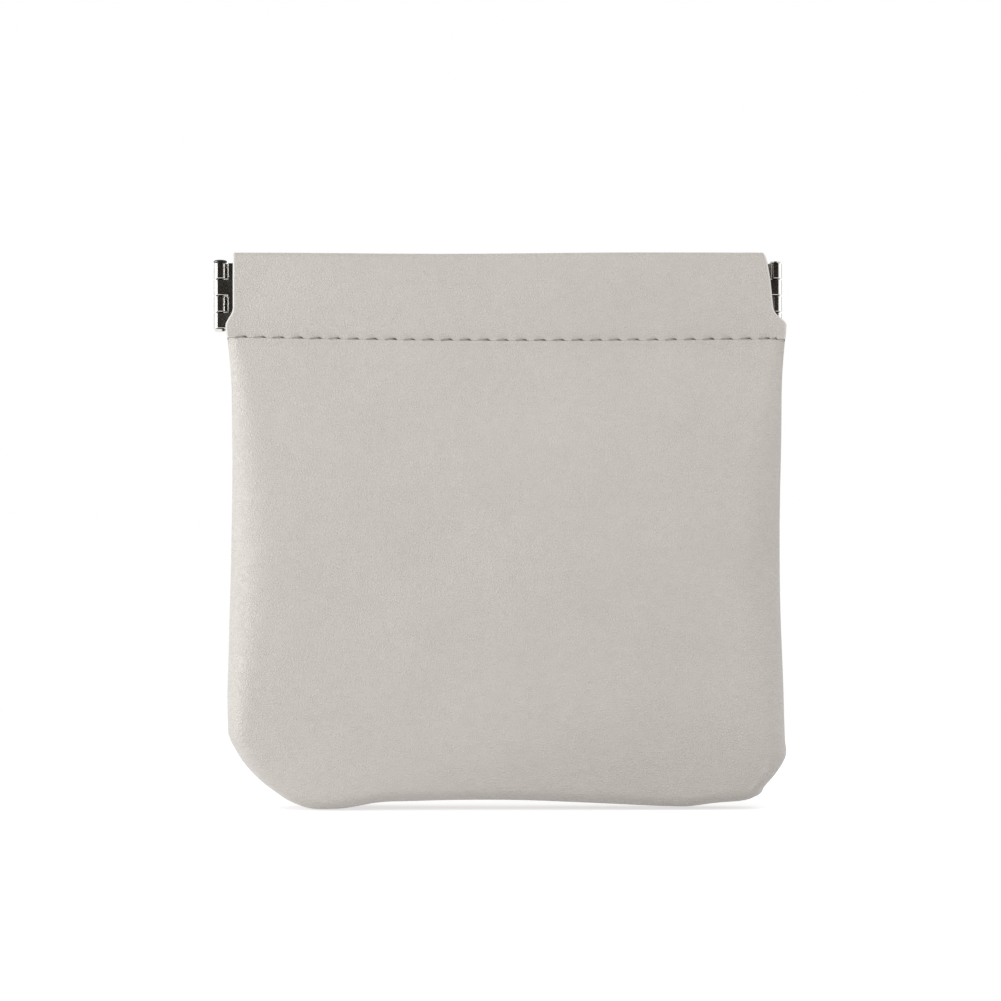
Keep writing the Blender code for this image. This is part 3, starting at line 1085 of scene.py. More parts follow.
@dataclass(frozen=True)
class BagForm:
    """The outside of the leather bag: its outline, its depth and its base."""

    leather: float = 0.9 * MM
    height: float = 93.0 * MM
    wall_top: float = 92.7 * MM
    left_x: float = -54.43 * MM
    right_x: float = 56.97 * MM
    half_depth_top: float = 2.4 * MM
    half_depth_full: float = 9.0 * MM
    widest_height: float = 16.0 * MM
    depth_power: float = 1.5
    crown: float = 0.9 * MM
    seam_half_gap: float = 0.005 * MM
    seam_roll: float = 0.85 * MM
    seam_depth: float = 0.5 * MM
    rounded_share: float = 0.24
    rounding_power: float = 3.0
    seam_share: float = 0.014
    fold_height: float = 3.2 * MM
    axis_height: float = 5.0 * MM
    axis_y: float = 9.225 * MM
    fold_power: float = 3.0
    lift_fade: float = 24.0 * MM
    base_flat: float = 0.25 * MM
    corner_roll: float = 3.8 * MM
    roll_reach: float = 34.0 * MM
    roll_fade: float = 0.1
    swell: float = 0.42 * MM
    swells_per_metre: Pair = (22.0, 17.0)
    ripple: float = 0.12 * MM
    ripples_per_metre: Pair = (61.0, 43.0)
    swell_top_fade: float = 22.0 * MM
    swell_foot_fade: float = 12.0 * MM
    left_line: Curve = Curve(
        (0.0, -37.9),
        (0.2, -38.7),
        (1.0, -41.05),
        (3.4, -45.38),
        (5.4, -47.98),
        (8.4, -50.9),
        (11.4, -52.9),
        (14.4, -54.35),
        (17.4, -54.5),
        (33.4, -54.3),
        (50.0, -53.9),
        (73.4, -53.7),
        (88.4, -54.1),
        (94.5, -54.75),
    )
    right_line: Curve = Curve(
        (0.0, 47.8),
        (0.15, 49.2),
        (0.65, 50.9),
        (2.56, 52.9),
        (6.75, 56.1),
        (8.96, 57.05),
        (12.4, 56.9),
        (25.4, 56.5),
        (41.4, 55.95),
        (53.4, 55.85),
        (73.4, 56.2),
        (88.4, 56.5),
        (95.0, 57.05),
    )
    base_line: Curve = Curve(
        (-40.0, 0.0),
        (-33.0, 0.0),
        (-29.2, 0.5),
        (-25.0, 1.26),
        (-17.0, 1.62),
        (-7.0, 1.84),
        (4.0, 1.78),
        (13.0, 1.45),
        (23.0, 1.0),
        (33.0, 0.56),
        (37.0, 0.5),
        (43.0, 1.2),
        (48.0, 1.55),
        (57.0, 2.1),
    )
    under_turn: Curve = Curve(
        (-57.0, 0.0),
        (-36.0, 0.2),
        (-30.0, 0.5),
        (-24.0, 0.9),
        (0.0, 1.5),
        (24.0, 2.3),
        (40.0, 3.2),
        (57.0, 3.2),
    )
    turn_height: Curve = Curve(
        (-57.0, 6.0),
        (-24.0, 8.0),
        (-10.0, 12.5),
        (10.0, 16.0),
        (30.0, 23.0),
        (57.0, 25.0),
    )
    shoulder_reach: float = 7.0 * MM
    shoulder_line: Curve = Curve(
        (0.0, 0.6),
        (20.0, 0.6),
        (36.0, 0.4),
        (50.0, 0.1),
        (93.0, 0.0),
    )
    side_rounding: Curve = Curve(
        (0.0, 0.42),
        (14.0, 0.5),
        (24.0, 0.62),
        (32.0, 0.8),
        (41.0, 1.08),
        (52.0, 1.3),
        (66.0, 1.4),
        (93.0, 1.4),
    )

    def left(self, height: float) -> float:
        """The left side of the bag at this height."""
        return self.left_line.at(height / MM) * MM

    def right(self, height: float) -> float:
        """The right side of the bag at this height."""
        return self.right_line.at(height / MM) * MM

    def half_depth(self, height: float) -> float:
        """Half the depth: pinched under the hems and full near the base.

        Args:
            height: The height before the base is lifted.

        Returns:
            The distance from the middle plane in metres.
        """
        fall = (self.wall_top - height) / (self.wall_top - self.widest_height)
        share = 1.0 - (1.0 - min(1.0, max(0.0, fall))) ** self.depth_power
        return self.half_depth_top + (self.half_depth_full - self.half_depth_top) * share

    def base_lift(self, x: float, height: float) -> float:
        """How far the base is lifted: it arches between two lobes and rises at the right.

        Args:
            x: The place along the base.
            height: The height before the lift.

        Returns:
            The lift in metres.
        """
        lift = self.base_line.at(x / MM) * MM
        return lift * (1.0 - ease(height / self.lift_fade))

    def turned_under(self, x: float, height: float) -> float:
        """How far the foot of the wall draws in before the fold.

        Args:
            x: The place along the base.
            height: The height before the lift.

        Returns:
            The distance in metres.
        """
        reach = self.turn_height.at(x / MM) * MM
        turned = 0.0
        if height < reach:
            turned = self.under_turn.at(x / MM) * MM * (1.0 - height / reach) ** 2
        return turned

    def rolled_back(self, x: float, height: float) -> float:
        """How far the lower left corner leans back, which turns it to the light.

        Args:
            x: The place along the base.
            height: The height before the lift.

        Returns:
            The distance in metres.
        """
        from_corner = math.hypot(x - self.left_x, height)
        if from_corner >= self.roll_reach:
            return 0.0
        return self.corner_roll * (1.0 - from_corner / self.roll_reach) ** 2

    def sag(self, x: float, height: float) -> float:
        """Soft hollows and swells of the hide, in metres outwards.

        Args:
            x: The place along the bag.
            height: The height.

        Returns:
            The swell, which fades at the hem and at the sides.
        """
        slow_x, slow_z = self.swells_per_metre
        quick_x, quick_z = self.ripples_per_metre
        slow = noise.noise(Vector((x * slow_x, height * slow_z, 3.7)))
        quick = noise.noise(Vector((x * quick_x, height * quick_z, 9.1)))
        span = (x - self.left_x) / (self.right_x - self.left_x)
        fade = math.sin(math.pi * min(1.0, max(0.0, span))) ** 0.6
        fade *= ease((self.height - height) / self.swell_top_fade)
        fade *= ease(height / self.swell_foot_fade)
        return (self.swell * slow + self.ripple * quick) * fade

    def surface(self, share: float, height: float, out_share: float, side: Side) -> Point:
        """A point of the bag's outer face.

        Args:
            share: From 0 at the left side seam to 1 at the right one.
            height: The height before the base is lifted.
            out_share: How far out from the base seam, 1 on the wall.
            side: The panel.

        Returns:
            The point.
        """
        left, right, depth = self.left(height), self.right(height), self.half_depth(height)
        rounding = self.side_rounding.at(height / MM) * depth
        near = min(share, 1.0 - share)
        if near < self.rounded_share:
            turn = math.cos(math.pi / 2 * near / self.rounded_share)
            from_side = rounding * (1.0 - turn)
            full = math.sqrt(1.0 - turn**self.rounding_power)
        else:
            middle = (near - self.rounded_share) / (1.0 - 2 * self.rounded_share)
            from_side = rounding + (right - left - 2 * rounding) * middle
            full = 1.0
        shoulder = max(0.0, 1.0 - from_side / (rounding + self.shoulder_reach)) ** 2
        out = full * (depth - self.shoulder_line.at(height / MM) * MM * shoulder)
        x = left + from_side if share <= 0.5 else right - from_side
        up = min(1.0, height / self.wall_top)
        out += self.crown * math.sin(math.pi * up) * math.sin(math.pi * share) ** 2
        out += self.sag(x, height)
        middle_share = math.sin(math.pi * share) ** 0.5
        out -= self.turned_under(x, height) * middle_share
        out -= self.rolled_back(x, height) * min(1.0, near / self.roll_fade)
        out = max(self.seam_half_gap, out * out_share)
        if near < self.seam_share:
            roll = 1.0 - min(1.0, out / self.seam_roll)
            groove = self.seam_depth * (1.0 - math.sqrt(1.0 - roll**2))
            x += groove if share <= 0.5 else -groove
        z = height + self.base_lift(x, height)
        z = max(0.0, z - self.base_flat * max(0.0, 1.0 - height / self.fold_height))
        return x, side.value * out, z


# The pouch's pieces


@dataclass
class BagPanel:
    """One leather panel, from the seam under the base up to the stitches of its hem."""

    side: Side
    form: BagForm
    frame_form: FrameForm
    stitches: StitchLine
    finishes: FinishSet
    lip: float = 1.5 * MM
    tongue: float = 1.3 * MM
    end_tongue: float = 0.6 * MM
    hinge_room: float = 16.0 * MM
    tongue_thickness: float = 0.3 * MM
    tongue_y: float = 1.45 * MM
    ledge_drop: float = 0.3 * MM
    fold_rows: int = 15
    wall_rows: int = 104
    seam_columns: int = 6
    rounded_columns: int = 20
    flat_columns: int = 92
    tilt_degrees: float = 11.29
    swing_degrees: float = 18.0
    slack: float = 0.2 * MM
    top_gap: float = 0.14 * MM
    fit_reach: float = 14.0 * MM
    lip_leather_share: float = 0.5
    pucker_shade: float = 0.3
    tongue_shade: float = 0.8
    flesh_shade: float = 0.3
    mouth_places: int = 241
    still_height: float = 2.0 * MM
    rise_reach: float = 9.0 * MM

    def shares(self) -> list[float]:
        """Space the grid's columns, close together at the seams.

        Returns:
            Shares from 0 at the left seam to 1 at the right one.
        """
        edge = self.form.rounded_share
        left = spread(0.0, edge, self.rounded_columns + 1)
        left[1:1] = spread(0.0, left[1], self.seam_columns + 2)[1:-1]
        middle = spread(edge, 1.0 - edge, self.flat_columns + 1)[1:-1]
        return left + middle + [1.0 - share for share in reversed(left)]

    def row(self, height: float, out_share: float) -> list[Point]:
        """One row of the grid, with the seam allowances that turn in at its two ends.

        Args:
            height: The height before the base is lifted.
            out_share: How far out from the base seam, 1 on the wall.

        Returns:
            The points from left to right.
        """
        shares = self.shares()
        points = [self.form.surface(share, height, out_share, self.side) for share in shares]
        lip_y = self.side.value * self.form.seam_half_gap
        first, last = points[0], points[-1]
        left_lip = [(first[0] + reach, lip_y, first[2]) for reach in (self.lip, self.lip / 3)]
        right_lip = [(last[0] - reach, lip_y, last[2]) for reach in (self.lip / 3, self.lip)]
        return left_lip + points + right_lip

    def tongue_height(self, x: float) -> float:
        """How far the thin tongue stands up in the hem: less below the hinges.

        Args:
            x: The place along the mouth.

        Returns:
            The height above the panel's ledge.
        """
        arm = self.frame_form.pin_span / 2 - abs(x - self.frame_form.centre_x)
        full = ease((arm - self.hinge_room) / self.hinge_room)
        return self.end_tongue + (self.tongue - self.end_tongue) * full

    def top_height(self, x: float) -> float:
        """Where the panel goes in under its hem."""
        return self.stitches.height(x) - self.top_gap

    def rows(self) -> np.ndarray:
        """Lay out the grain face, from the base seam up to the tongue in the hem.

        Returns:
            The face as a grid, rows by columns by 3.
        """
        rows = []
        for angle in spread(0.0, math.pi / 2, self.fold_rows):
            power = 2.0 / self.form.fold_power
            out_share = math.sin(angle) ** power
            height = self.form.fold_height * (1.0 - math.cos(angle) ** power)
            rows.append(self.row(height, out_share))
        seam_y = self.side.value * self.form.seam_half_gap
        seam = [(x, seam_y, z + self.lip) for x, _, z in rows[0]]
        rows.insert(0, seam)
        top = self.stitches.left_height
        for height in spread(self.form.fold_height, top, self.wall_rows + 1)[1:]:
            rows.append(self.row(height, 1.0))
        grid = np.array(rows)
        self.fit_top(grid)
        shoulder = grid[-1].copy()
        shoulder[:, 1] = self.side.value * np.minimum(np.abs(shoulder[:, 1]), self.tongue_y)
        tongue = shoulder.copy()
        shoulder[:, 2] -= self.ledge_drop
        tongue[:, 2] += [self.tongue_height(x) for x in tongue[:, 0]]
        return np.concatenate((grid, shoulder[None], tongue[None]))

    def fit_top(self, grid: np.ndarray) -> None:
        """Draw the upper rows down to the line of the stitches.

        Args:
            grid: The panel's rows, changed in place.
        """
        top = self.stitches.left_height
        for row in grid:
            for point in row:
                share = ease((point[2] - top + self.fit_reach) / self.fit_reach)
                if share > 0.0:
                    point[2] += share * (self.top_height(point[0]) - top)

    def thicknesses(self, grid: np.ndarray) -> np.ndarray:
        """How thick the leather is at each point of the grid.

        Args:
            grid: The panel's rows.

        Returns:
            The thicknesses, rows by columns.
        """
        thickness = np.full(grid.shape[:2], self.form.leather)
        thickness[-2:, :] = self.tongue_thickness
        thickness[:, :2] = self.form.leather * self.lip_leather_share
        thickness[:, -2:] = self.form.leather * self.lip_leather_share
        return thickness

    def creases(self, grid: np.ndarray) -> np.ndarray:
        """How deep each point lies in a crease, for the leather's shading.

        Args:
            grid: The panel's rows.

        Returns:
            The depths, from 0 on open leather to 1 in a seam.
        """
        crease = np.zeros(grid.shape[:2])
        for row_index, row in enumerate(grid):
            for column, point in enumerate(row):
                pulled = self.stitches.pull(point[0], point[2] - self.top_height(point[0]))
                crease[row_index, column] = self.pucker_shade * pulled
        # Seam allowances, base seam rows and the tongue under the hem get painted shade.
        crease[:, :2] = 1.0
        crease[:, -2:] = 1.0
        crease[:2, :] = 1.0
        crease[-2:, :] = self.tongue_shade
        return crease

    def tilt_shares(self, along: np.ndarray) -> np.ndarray:
        """How much of the wall's tilt a point takes, so that the wall meets its open hem.

        Args:
            along: The places of the points along the bag.

        Returns:
            The shares, 0 at the pins.
        """
        frame_form = self.frame_form
        swing = math.radians(self.swing_degrees)
        ends = frame_form.pin_x(End.LEFT), frame_form.pin_x(End.RIGHT)
        opened = [frame_form.bowed(x, swing) for x in spread(*ends, self.mouth_places)]
        places = [place for place, _ in opened]
        moved = np.interp(along, places, [out for _, out in opened], left=0.0, right=0.0)
        rise = self.stitches.left_height - self.form.axis_height
        return moved / (rise * math.sin(math.radians(self.tilt_degrees)) + self.slack)

    def follow_hem(self, panel: bpy.types.Object) -> None:
        """Bake the panel's transform and work out how much of the wall's tilt each point would
        take; the weights are not applied.

        Args:
            panel: The finished panel.
        """
        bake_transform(panel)
        points = np.empty(len(panel.data.vertices) * 3)
        panel.data.vertices.foreach_get("co", points)
        points = points.reshape(-1, 3)
        rise = np.clip((points[:, 2] - self.still_height) / self.rise_reach, 0.0, 1.0)
        weights = self.tilt_shares(points[:, 0]) * rise * rise * (3.0 - 2.0 * rise)

    def build(self) -> bpy.types.Object:
        """Make the panel.

        Returns:
            The finished piece.
        """
        grid = self.rows()
        outward = -float(self.side.value)
        mesh = shell_mesh(self.side.word + "_panel", grid, self.thicknesses(grid), outward)
        crease = self.creases(grid).reshape(-1)
        add_mask(mesh, "crease", np.concatenate((crease, crease * self.flesh_shade)))
        panel = link_piece(mesh.name, mesh, self.finishes.leather())
        self.follow_hem(panel)
        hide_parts(self.side.word + "_wall", "base")
        report(panel)
        return panel


@dataclass
class Hem:
    """The leather turned over one spring strip, from hinge to hinge."""

    side: Side
    frame_form: FrameForm
    stitches: StitchLine
    finishes: FinishSet
    leather: float = 0.7 * MM
    skived: float = 0.26 * MM
    mouth_gap: float = 0.15 * MM
    cover_y: float = 2.69 * MM
    closing_leather: float = 0.54 * MM
    lining_foot: float = 91.2 * MM
    foot_gap: float = 0.1 * MM
    closing_from: float = 99.5 * MM
    closing_reach: float = 3.0 * MM
    pull_depth: float = 0.16 * MM
    pull_shade: float = 0.55
    ripple: float = 0.07 * MM
    ripples_per_metre: Pair = (70.0, 40.0)
    ripple_fade: float = 6.0 * MM
    edge_rounding: float = 0.4 * MM
    edge_columns: int = 5
    columns: int = 220
    lining_rows: int = 26
    fold_steps: int = 18
    cover_rows: int = 46
    cover_line: Curve = Curve(
        (94.0, 2.4),
        (96.0, 2.57),
        (99.0, 2.76),
        (102.0, 2.9),
        (104.5, 2.94),
        (107.0, 2.86),
        (109.5, 2.69),
    )
    left_end: tuple[Pair, ...] = (
        (93.5, -54.5),
        (94.6, -54.72),
        (96.0, -54.85),
        (96.6, -54.8),
        (97.2, -54.5),
        (98.6, -53.65),
        (99.1, -53.45),
        (99.8, -53.37),
        (111.0, -53.37),
    )
    right_end: tuple[Pair, ...] = (
        (93.5, 56.85),
        (96.4, 57.05),
        (96.8, 57.02),
        (97.3, 56.7),
        (98.3, 55.55),
        (98.9, 54.85),
        (99.7, 54.45),
        (101.0, 54.28),
        (105.5, 53.8),
        (109.0, 53.2),
        (110.2, 52.85),
        (111.0, 52.5),
    )
    lining_inset: float = 1.65 * MM
    lining_foot_inset: float = 1.2 * MM
    below_hinge: float = 0.6 * MM
    skived_past_hinge: float = 0.3 * MM
    end_shares: tuple[float, ...] = (0.0002, 0.0006, 0.0012, 0.0019, 0.0028, 0.0038)
    top_dip: float = 0.3 * MM
    top_dip_run: float = 0.8
    top_rise: float = 0.08 * MM
    end_draw: float = 0.6
    end_thinning: float = 1.4

    def end_x(self, end: End, height: float, is_lining: bool) -> float:
        """Where the hem ends beside the hinge.

        Args:
            end: The end.
            height: The height to read at.
            is_lining: Whether the point lies behind the strip, between the hinge barrels.

        Returns:
            The place along X.
        """
        heights, places = zip(*(self.left_end if end is End.LEFT else self.right_end))
        x = float(np.interp(height / MM, heights, places)) * MM
        if is_lining:
            is_beside_hinge = height > self.frame_form.hinge_bottom - self.below_hinge
            inset = self.lining_inset if is_beside_hinge else 0.0
            limit = self.frame_form.pin_x(end) - end.value * inset
            x = max(x, limit) if end is End.LEFT else min(x, limit)
            if height < self.stitches.left_height:
                x -= end.value * self.lining_foot_inset
        return x

    def section(self) -> list[tuple[float, float, bool, float]]:
        """Draw the hem's outer face in section, up the lining, over the top and down the cover.

        Returns:
            For each point: how far out from the middle plane it is, its height, whether it is
            lining, and how thick the leather is there.
        """
        radius = (self.cover_y - self.mouth_gap) / 2
        middle = self.mouth_gap + radius
        bend_z = self.frame_form.hem_top - radius
        open_z = self.frame_form.hinge_bottom + self.skived_past_hinge
        points = []
        for height in spread(self.lining_foot, bend_z, self.lining_rows)[:-1]:
            thickness = self.skived if height < open_z else self.leather
            points.append((self.mouth_gap, height, True, thickness))
        for step in range(self.fold_steps + 1):
            angle = math.pi * step / self.fold_steps
            out = middle - radius * math.cos(angle)
            height = bend_z + radius * math.sin(angle)
            points.append((out, height, 2 * step <= self.fold_steps, self.leather))
        foot = self.stitches.left_height - self.foot_gap
        for height in spread(bend_z, foot, self.cover_rows)[1:]:
            closed = ease((self.closing_from - height) / self.closing_reach)
            thick = self.leather - (self.leather - self.closing_leather) * closed
            points.append((self.cover_line.at(height / MM) * MM, height, False, thick))
        return points

    def column_shares(self) -> list[float]:
        """Space the grid's columns, closer together at the cut ends.

        Returns:
            Shares from 0 at the left end to 1 at the right one.
        """
        middle = spread(0.0, 1.0, self.columns)[1:-1]
        right = [1.0 - share for share in reversed(self.end_shares)]
        return [0.0, *self.end_shares, *middle, *right, 1.0]

    def top_sag(self, share: float) -> float:
        """How far the top fold dips along the mouth, in metres."""
        dip = self.top_dip * math.sin(math.pi * min(1.0, share / self.top_dip_run)) ** 2
        return dip - self.top_rise * math.sin(math.pi * share)

    def grid(self) -> tuple[np.ndarray, np.ndarray, np.ndarray]:
        """The outer face, its thickness and its creases.

        Returns:
            Three grids, rows by columns.
        """
        section = self.section()
        shares = self.column_shares()
        points = np.zeros((len(section), len(shares), 3))
        thickness = np.zeros(points.shape[:2])
        crease = np.zeros(points.shape[:2])
        drops = np.zeros(points.shape[:2])
        top = self.frame_form.hem_top
        foot = self.stitches.left_height
        for row, (out, height, is_lining, thick) in enumerate(section):
            left = self.end_x(End.LEFT, height, is_lining)
            right = self.end_x(End.RIGHT, height, is_lining)
            for column, share in enumerate(shares):
                x = left + (right - left) * share
                up = (height - foot) / (top - foot)
                low = self.stitches.height(x) - foot
                z = height + low * (1.0 - ease(up))
                z -= self.top_sag(share) * ease(up)
                here = out
                if not is_lining:
                    pulled = self.stitches.pull(x, z - self.stitches.height(x))
                    here -= self.pull_depth * pulled
                    wave_x, wave_z = x * self.ripples_per_metre[0], z * self.ripples_per_metre[1]
                    wave = noise.noise(Vector((wave_x, wave_z, 5.0 + self.side.value)))
                    here += self.ripple * wave * ease((height - foot) / self.ripple_fade)
                    # Painted shade where the thread pulls the leather in.
                    crease[row, column] = self.pull_shade * pulled**2
                points[row, column] = (x, self.side.value * here, z)
                from_end = min(share, 1.0 - share) * (right - left)
                rounding = max(0.0, 1.0 - from_end / self.edge_rounding)
                drops[row, column] = 1.0 - math.sqrt(1.0 - rounding**2)
                thickness[row, column] = thick
        inward = self.end_draw * self.edge_rounding * drops
        thickness -= self.end_thinning * inward
        outward = float(self.side.value) * grid_normals(points)
        return points - outward * inward[:, :, None], thickness, crease

    def show_cut_edges_and_rim_highlight(self, mesh: bpy.types.Mesh, columns: int) -> None:
        """Give the rounded ends of the hem the lighter cut-edge colour: partly the raw edge, partly
        a painted highlight of the lit rim.

        Args:
            mesh: The hem's mesh.
            columns: How many points its grid has along the mouth.
        """
        for polygon in mesh.polygons:
            if polygon.material_index != LeatherFace.GRAIN.value:
                continue
            places = [vertex % columns for vertex in polygon.vertices]
            if max(places) <= self.edge_columns or min(places) >= columns - 1 - self.edge_columns:
                polygon.material_index = LeatherFace.CUT_EDGE.value

    def build(self) -> bpy.types.Object:
        """Make the hem.

        Returns:
            The finished piece.
        """
        points, thickness, crease = self.grid()
        outward = float(self.side.value)
        mesh = shell_mesh(self.side.word + "_hem", points, thickness, outward)
        flat = crease.reshape(-1)
        add_mask(mesh, "crease", np.concatenate((flat, flat * 0.0)))
        self.show_cut_edges_and_rim_highlight(mesh, points.shape[1])
        hem = link_piece(mesh.name, mesh, self.finishes.leather())
        self.frame_form.bend_with_frame(hem, self.side)
        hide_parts(self.side.word + "_left_casing", self.side.word + "_right_casing")
        report(hem)
        return hem


@dataclass
class HemStitching:
    """The thread that closes one hem: short slanted stitches, sunk at both ends."""

    side: Side
    frame_form: FrameForm
    stitches: StitchLine
    finishes: FinishSet
    length: float = 2.95 * MM
    last_length: float = 1.2 * MM
    last_x: float = 54.65 * MM
    radius: float = 0.19 * MM
    surface_y: float = 2.25 * MM
    slant: float = 0.13 * MM
    slants_per_metre: float = 900.0
    wander: float = 0.07 * MM
    wanders_per_metre: float = 700.0
    dive: float = 0.34 * MM
    dive_from: float = 0.74
    dive_reach: float = 0.22
    bulge: float = 0.992
    sunk: float = 0.672
    bulge_power: float = 0.45
    end_size: float = 0.5
    end_power: float = 0.35
    rings: int = 22
    around: int = 15
    plies: int = 3
    turns: float = 2.2
    ply_depth: float = 0.13
    flattening: float = 1.08
    ply_shade: float = 0.25
    end_shade: float = 0.35
    end_shade_share: float = 0.3
    dive_shade: float = 0.75
    dive_shade_reach: float = 0.35

    def ply(self, angle: float, share: float) -> float:
        """Where a point of the thread lies on its plies: 1 on a ridge, -1 in a groove.

        Args:
            angle: How far round the thread it is, in radians.
            share: From 0 at the stitch's left end to 1 at its right one.

        Returns:
            The height of the ply there.
        """
        return math.cos(self.plies * angle + self.turns * 2 * math.pi * share)

    def groove(self, angle: float, share: float) -> float:
        """How much painted shade a point of the thread gets: between the plies, and where it dives.

        Args:
            angle: How far round the thread it is, in radians.
            share: From 0 at the stitch's left end to 1 at its right one.

        Returns:
            From 0 to 1.
        """
        from_middle = abs(share - 0.5) * 2.0
        dark = self.ply_shade * (0.5 - 0.5 * self.ply(angle, share))
        dark += self.end_shade * max(0.0, 1.0 - (1.0 - from_middle) / self.end_shade_share)
        dark += self.dive_shade * ease((share - 0.5) / self.dive_shade_reach)
        return min(1.0, dark)

    def angles(self) -> list[float]:
        """The angles of the points round the thread."""
        return [2 * math.pi * index / self.around for index in range(self.around)]

    def ring(self, centre_x: float, length: float, share: float) -> list[Point]:
        """One ring of a stitch.

        Args:
            centre_x: The middle of the stitch.
            length: How long the stitch is.
            share: From 0 at its left end to 1 at its right one.

        Returns:
            The ring's points.
        """
        x = centre_x + (share - 0.5) * length
        arch = math.sin(math.pi * share)
        loose = noise.noise(Vector((centre_x * self.slants_per_metre, 2.3, 7.7)))
        height = self.stitches.height(x) + self.slant * (1.0 + loose) * (share - 0.5) * 2.0
        wander = noise.noise(Vector((centre_x * self.wanders_per_metre, 5.1, 1.9)))
        height += self.wander * wander
        height -= self.dive * ease((share - self.dive_from) / self.dive_reach)
        out = self.surface_y + self.radius * (self.bulge * arch**self.bulge_power - self.sunk)
        size = self.end_size + (1.0 - self.end_size) * arch**self.end_power
        points = []
        for angle in self.angles():
            radius = self.radius * size * (1.0 + self.ply_depth * self.ply(angle, share))
            y = self.side.value * (out + radius * math.cos(angle))
            points.append((x, y, height + self.flattening * radius * math.sin(angle)))
        return points

    def build(self) -> bpy.types.Object:
        """Make the row of stitches.

        Returns:
            The finished piece.
        """
        points: list[Point] = []
        faces: list[tuple[int, ...]] = []
        grooves: list[float] = []
        row = [
            (self.stitches.first_x + number * self.stitches.pitch, self.length)
            for number in range(self.stitches.count)
        ]
        row.append((self.last_x, self.last_length))
        for centre_x, length in row:
            base = len(points)
            for step in range(self.rings):
                share = step / (self.rings - 1)
                points += self.ring(centre_x, length, share)
                grooves += [self.groove(angle, share) for angle in self.angles()]
            faces += ring_faces(self.rings, self.around, base)
            last = base + (self.rings - 1) * self.around
            faces.append(tuple(range(base + self.around - 1, base - 1, -1)))
            faces.append(tuple(range(last, last + self.around)))
        mesh = bpy.data.meshes.new(self.side.word + "_stitching")
        if self.side is Side.FRONT:
            faces = [tuple(reversed(face)) for face in faces]
        mesh.from_pydata(points, [], faces)
        mesh.shade_smooth()
        add_mask(mesh, "crease", grooves)
        thread = link_piece(mesh.name, mesh, [self.finishes.thread])
        self.frame_form.bend_with_frame(thread, self.side)
        report(thread)
        return thread


@dataclass
class SpringStrip:
    """One spring steel strip from hinge to hinge inside its hem, built straight; the real strip
    bows.
    """

    side: Side
    frame_form: FrameForm
    finishes: FinishSet
    corner: float = 2.0 * MM
    corner_steps: int = 8
    columns: int = 96
    levels: int = 5

    def half_height(self, from_end: float) -> float:
        """Half the strip's height, with its corners rounded.

        Args:
            from_end: How far from the strip's nearer end.

        Returns:
            Half the height there.
        """
        half = self.frame_form.strip_height / 2
        if from_end >= self.corner:
            return half
        return half - self.corner + math.sqrt(self.corner**2 - (self.corner - from_end) ** 2)

    def build(self) -> bpy.types.Object:
        """Make the strip.

        Returns:
            The finished piece.
        """
        form = self.frame_form
        left = form.pin_x(End.LEFT) + form.strip_start
        right = form.pin_x(End.RIGHT) - form.strip_start
        ends = [self.corner * step / self.corner_steps for step in range(self.corner_steps)]
        places = [left + end for end in ends]
        places += spread(left + self.corner, right - self.corner, self.columns)
        places += [right - end for end in reversed(ends)]
        rows = []
        for level in spread(-1.0, 1.0, self.levels):
            row = []
            for x in places:
                half = self.half_height(min(x - left, right - x))
                y = self.side.value * (form.strip_y + form.strip_thickness / 2)
                row.append((x, y, form.hinge_middle + level * half))
            rows.append(row)
        grid = np.array(rows)
        thickness = np.full(grid.shape[:2], form.strip_thickness)
        mesh = shell_mesh(
            self.side.word + "_spring_strip", grid, thickness, -float(self.side.value)
        )
        finish = self.finishes.spring
        strip = link_piece(mesh.name, mesh, [finish, finish, finish])
        form.bend_with_frame(strip, self.side)
        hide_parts(self.side.word + "_left_strip", self.side.word + "_right_strip")
        report(strip)
        return strip


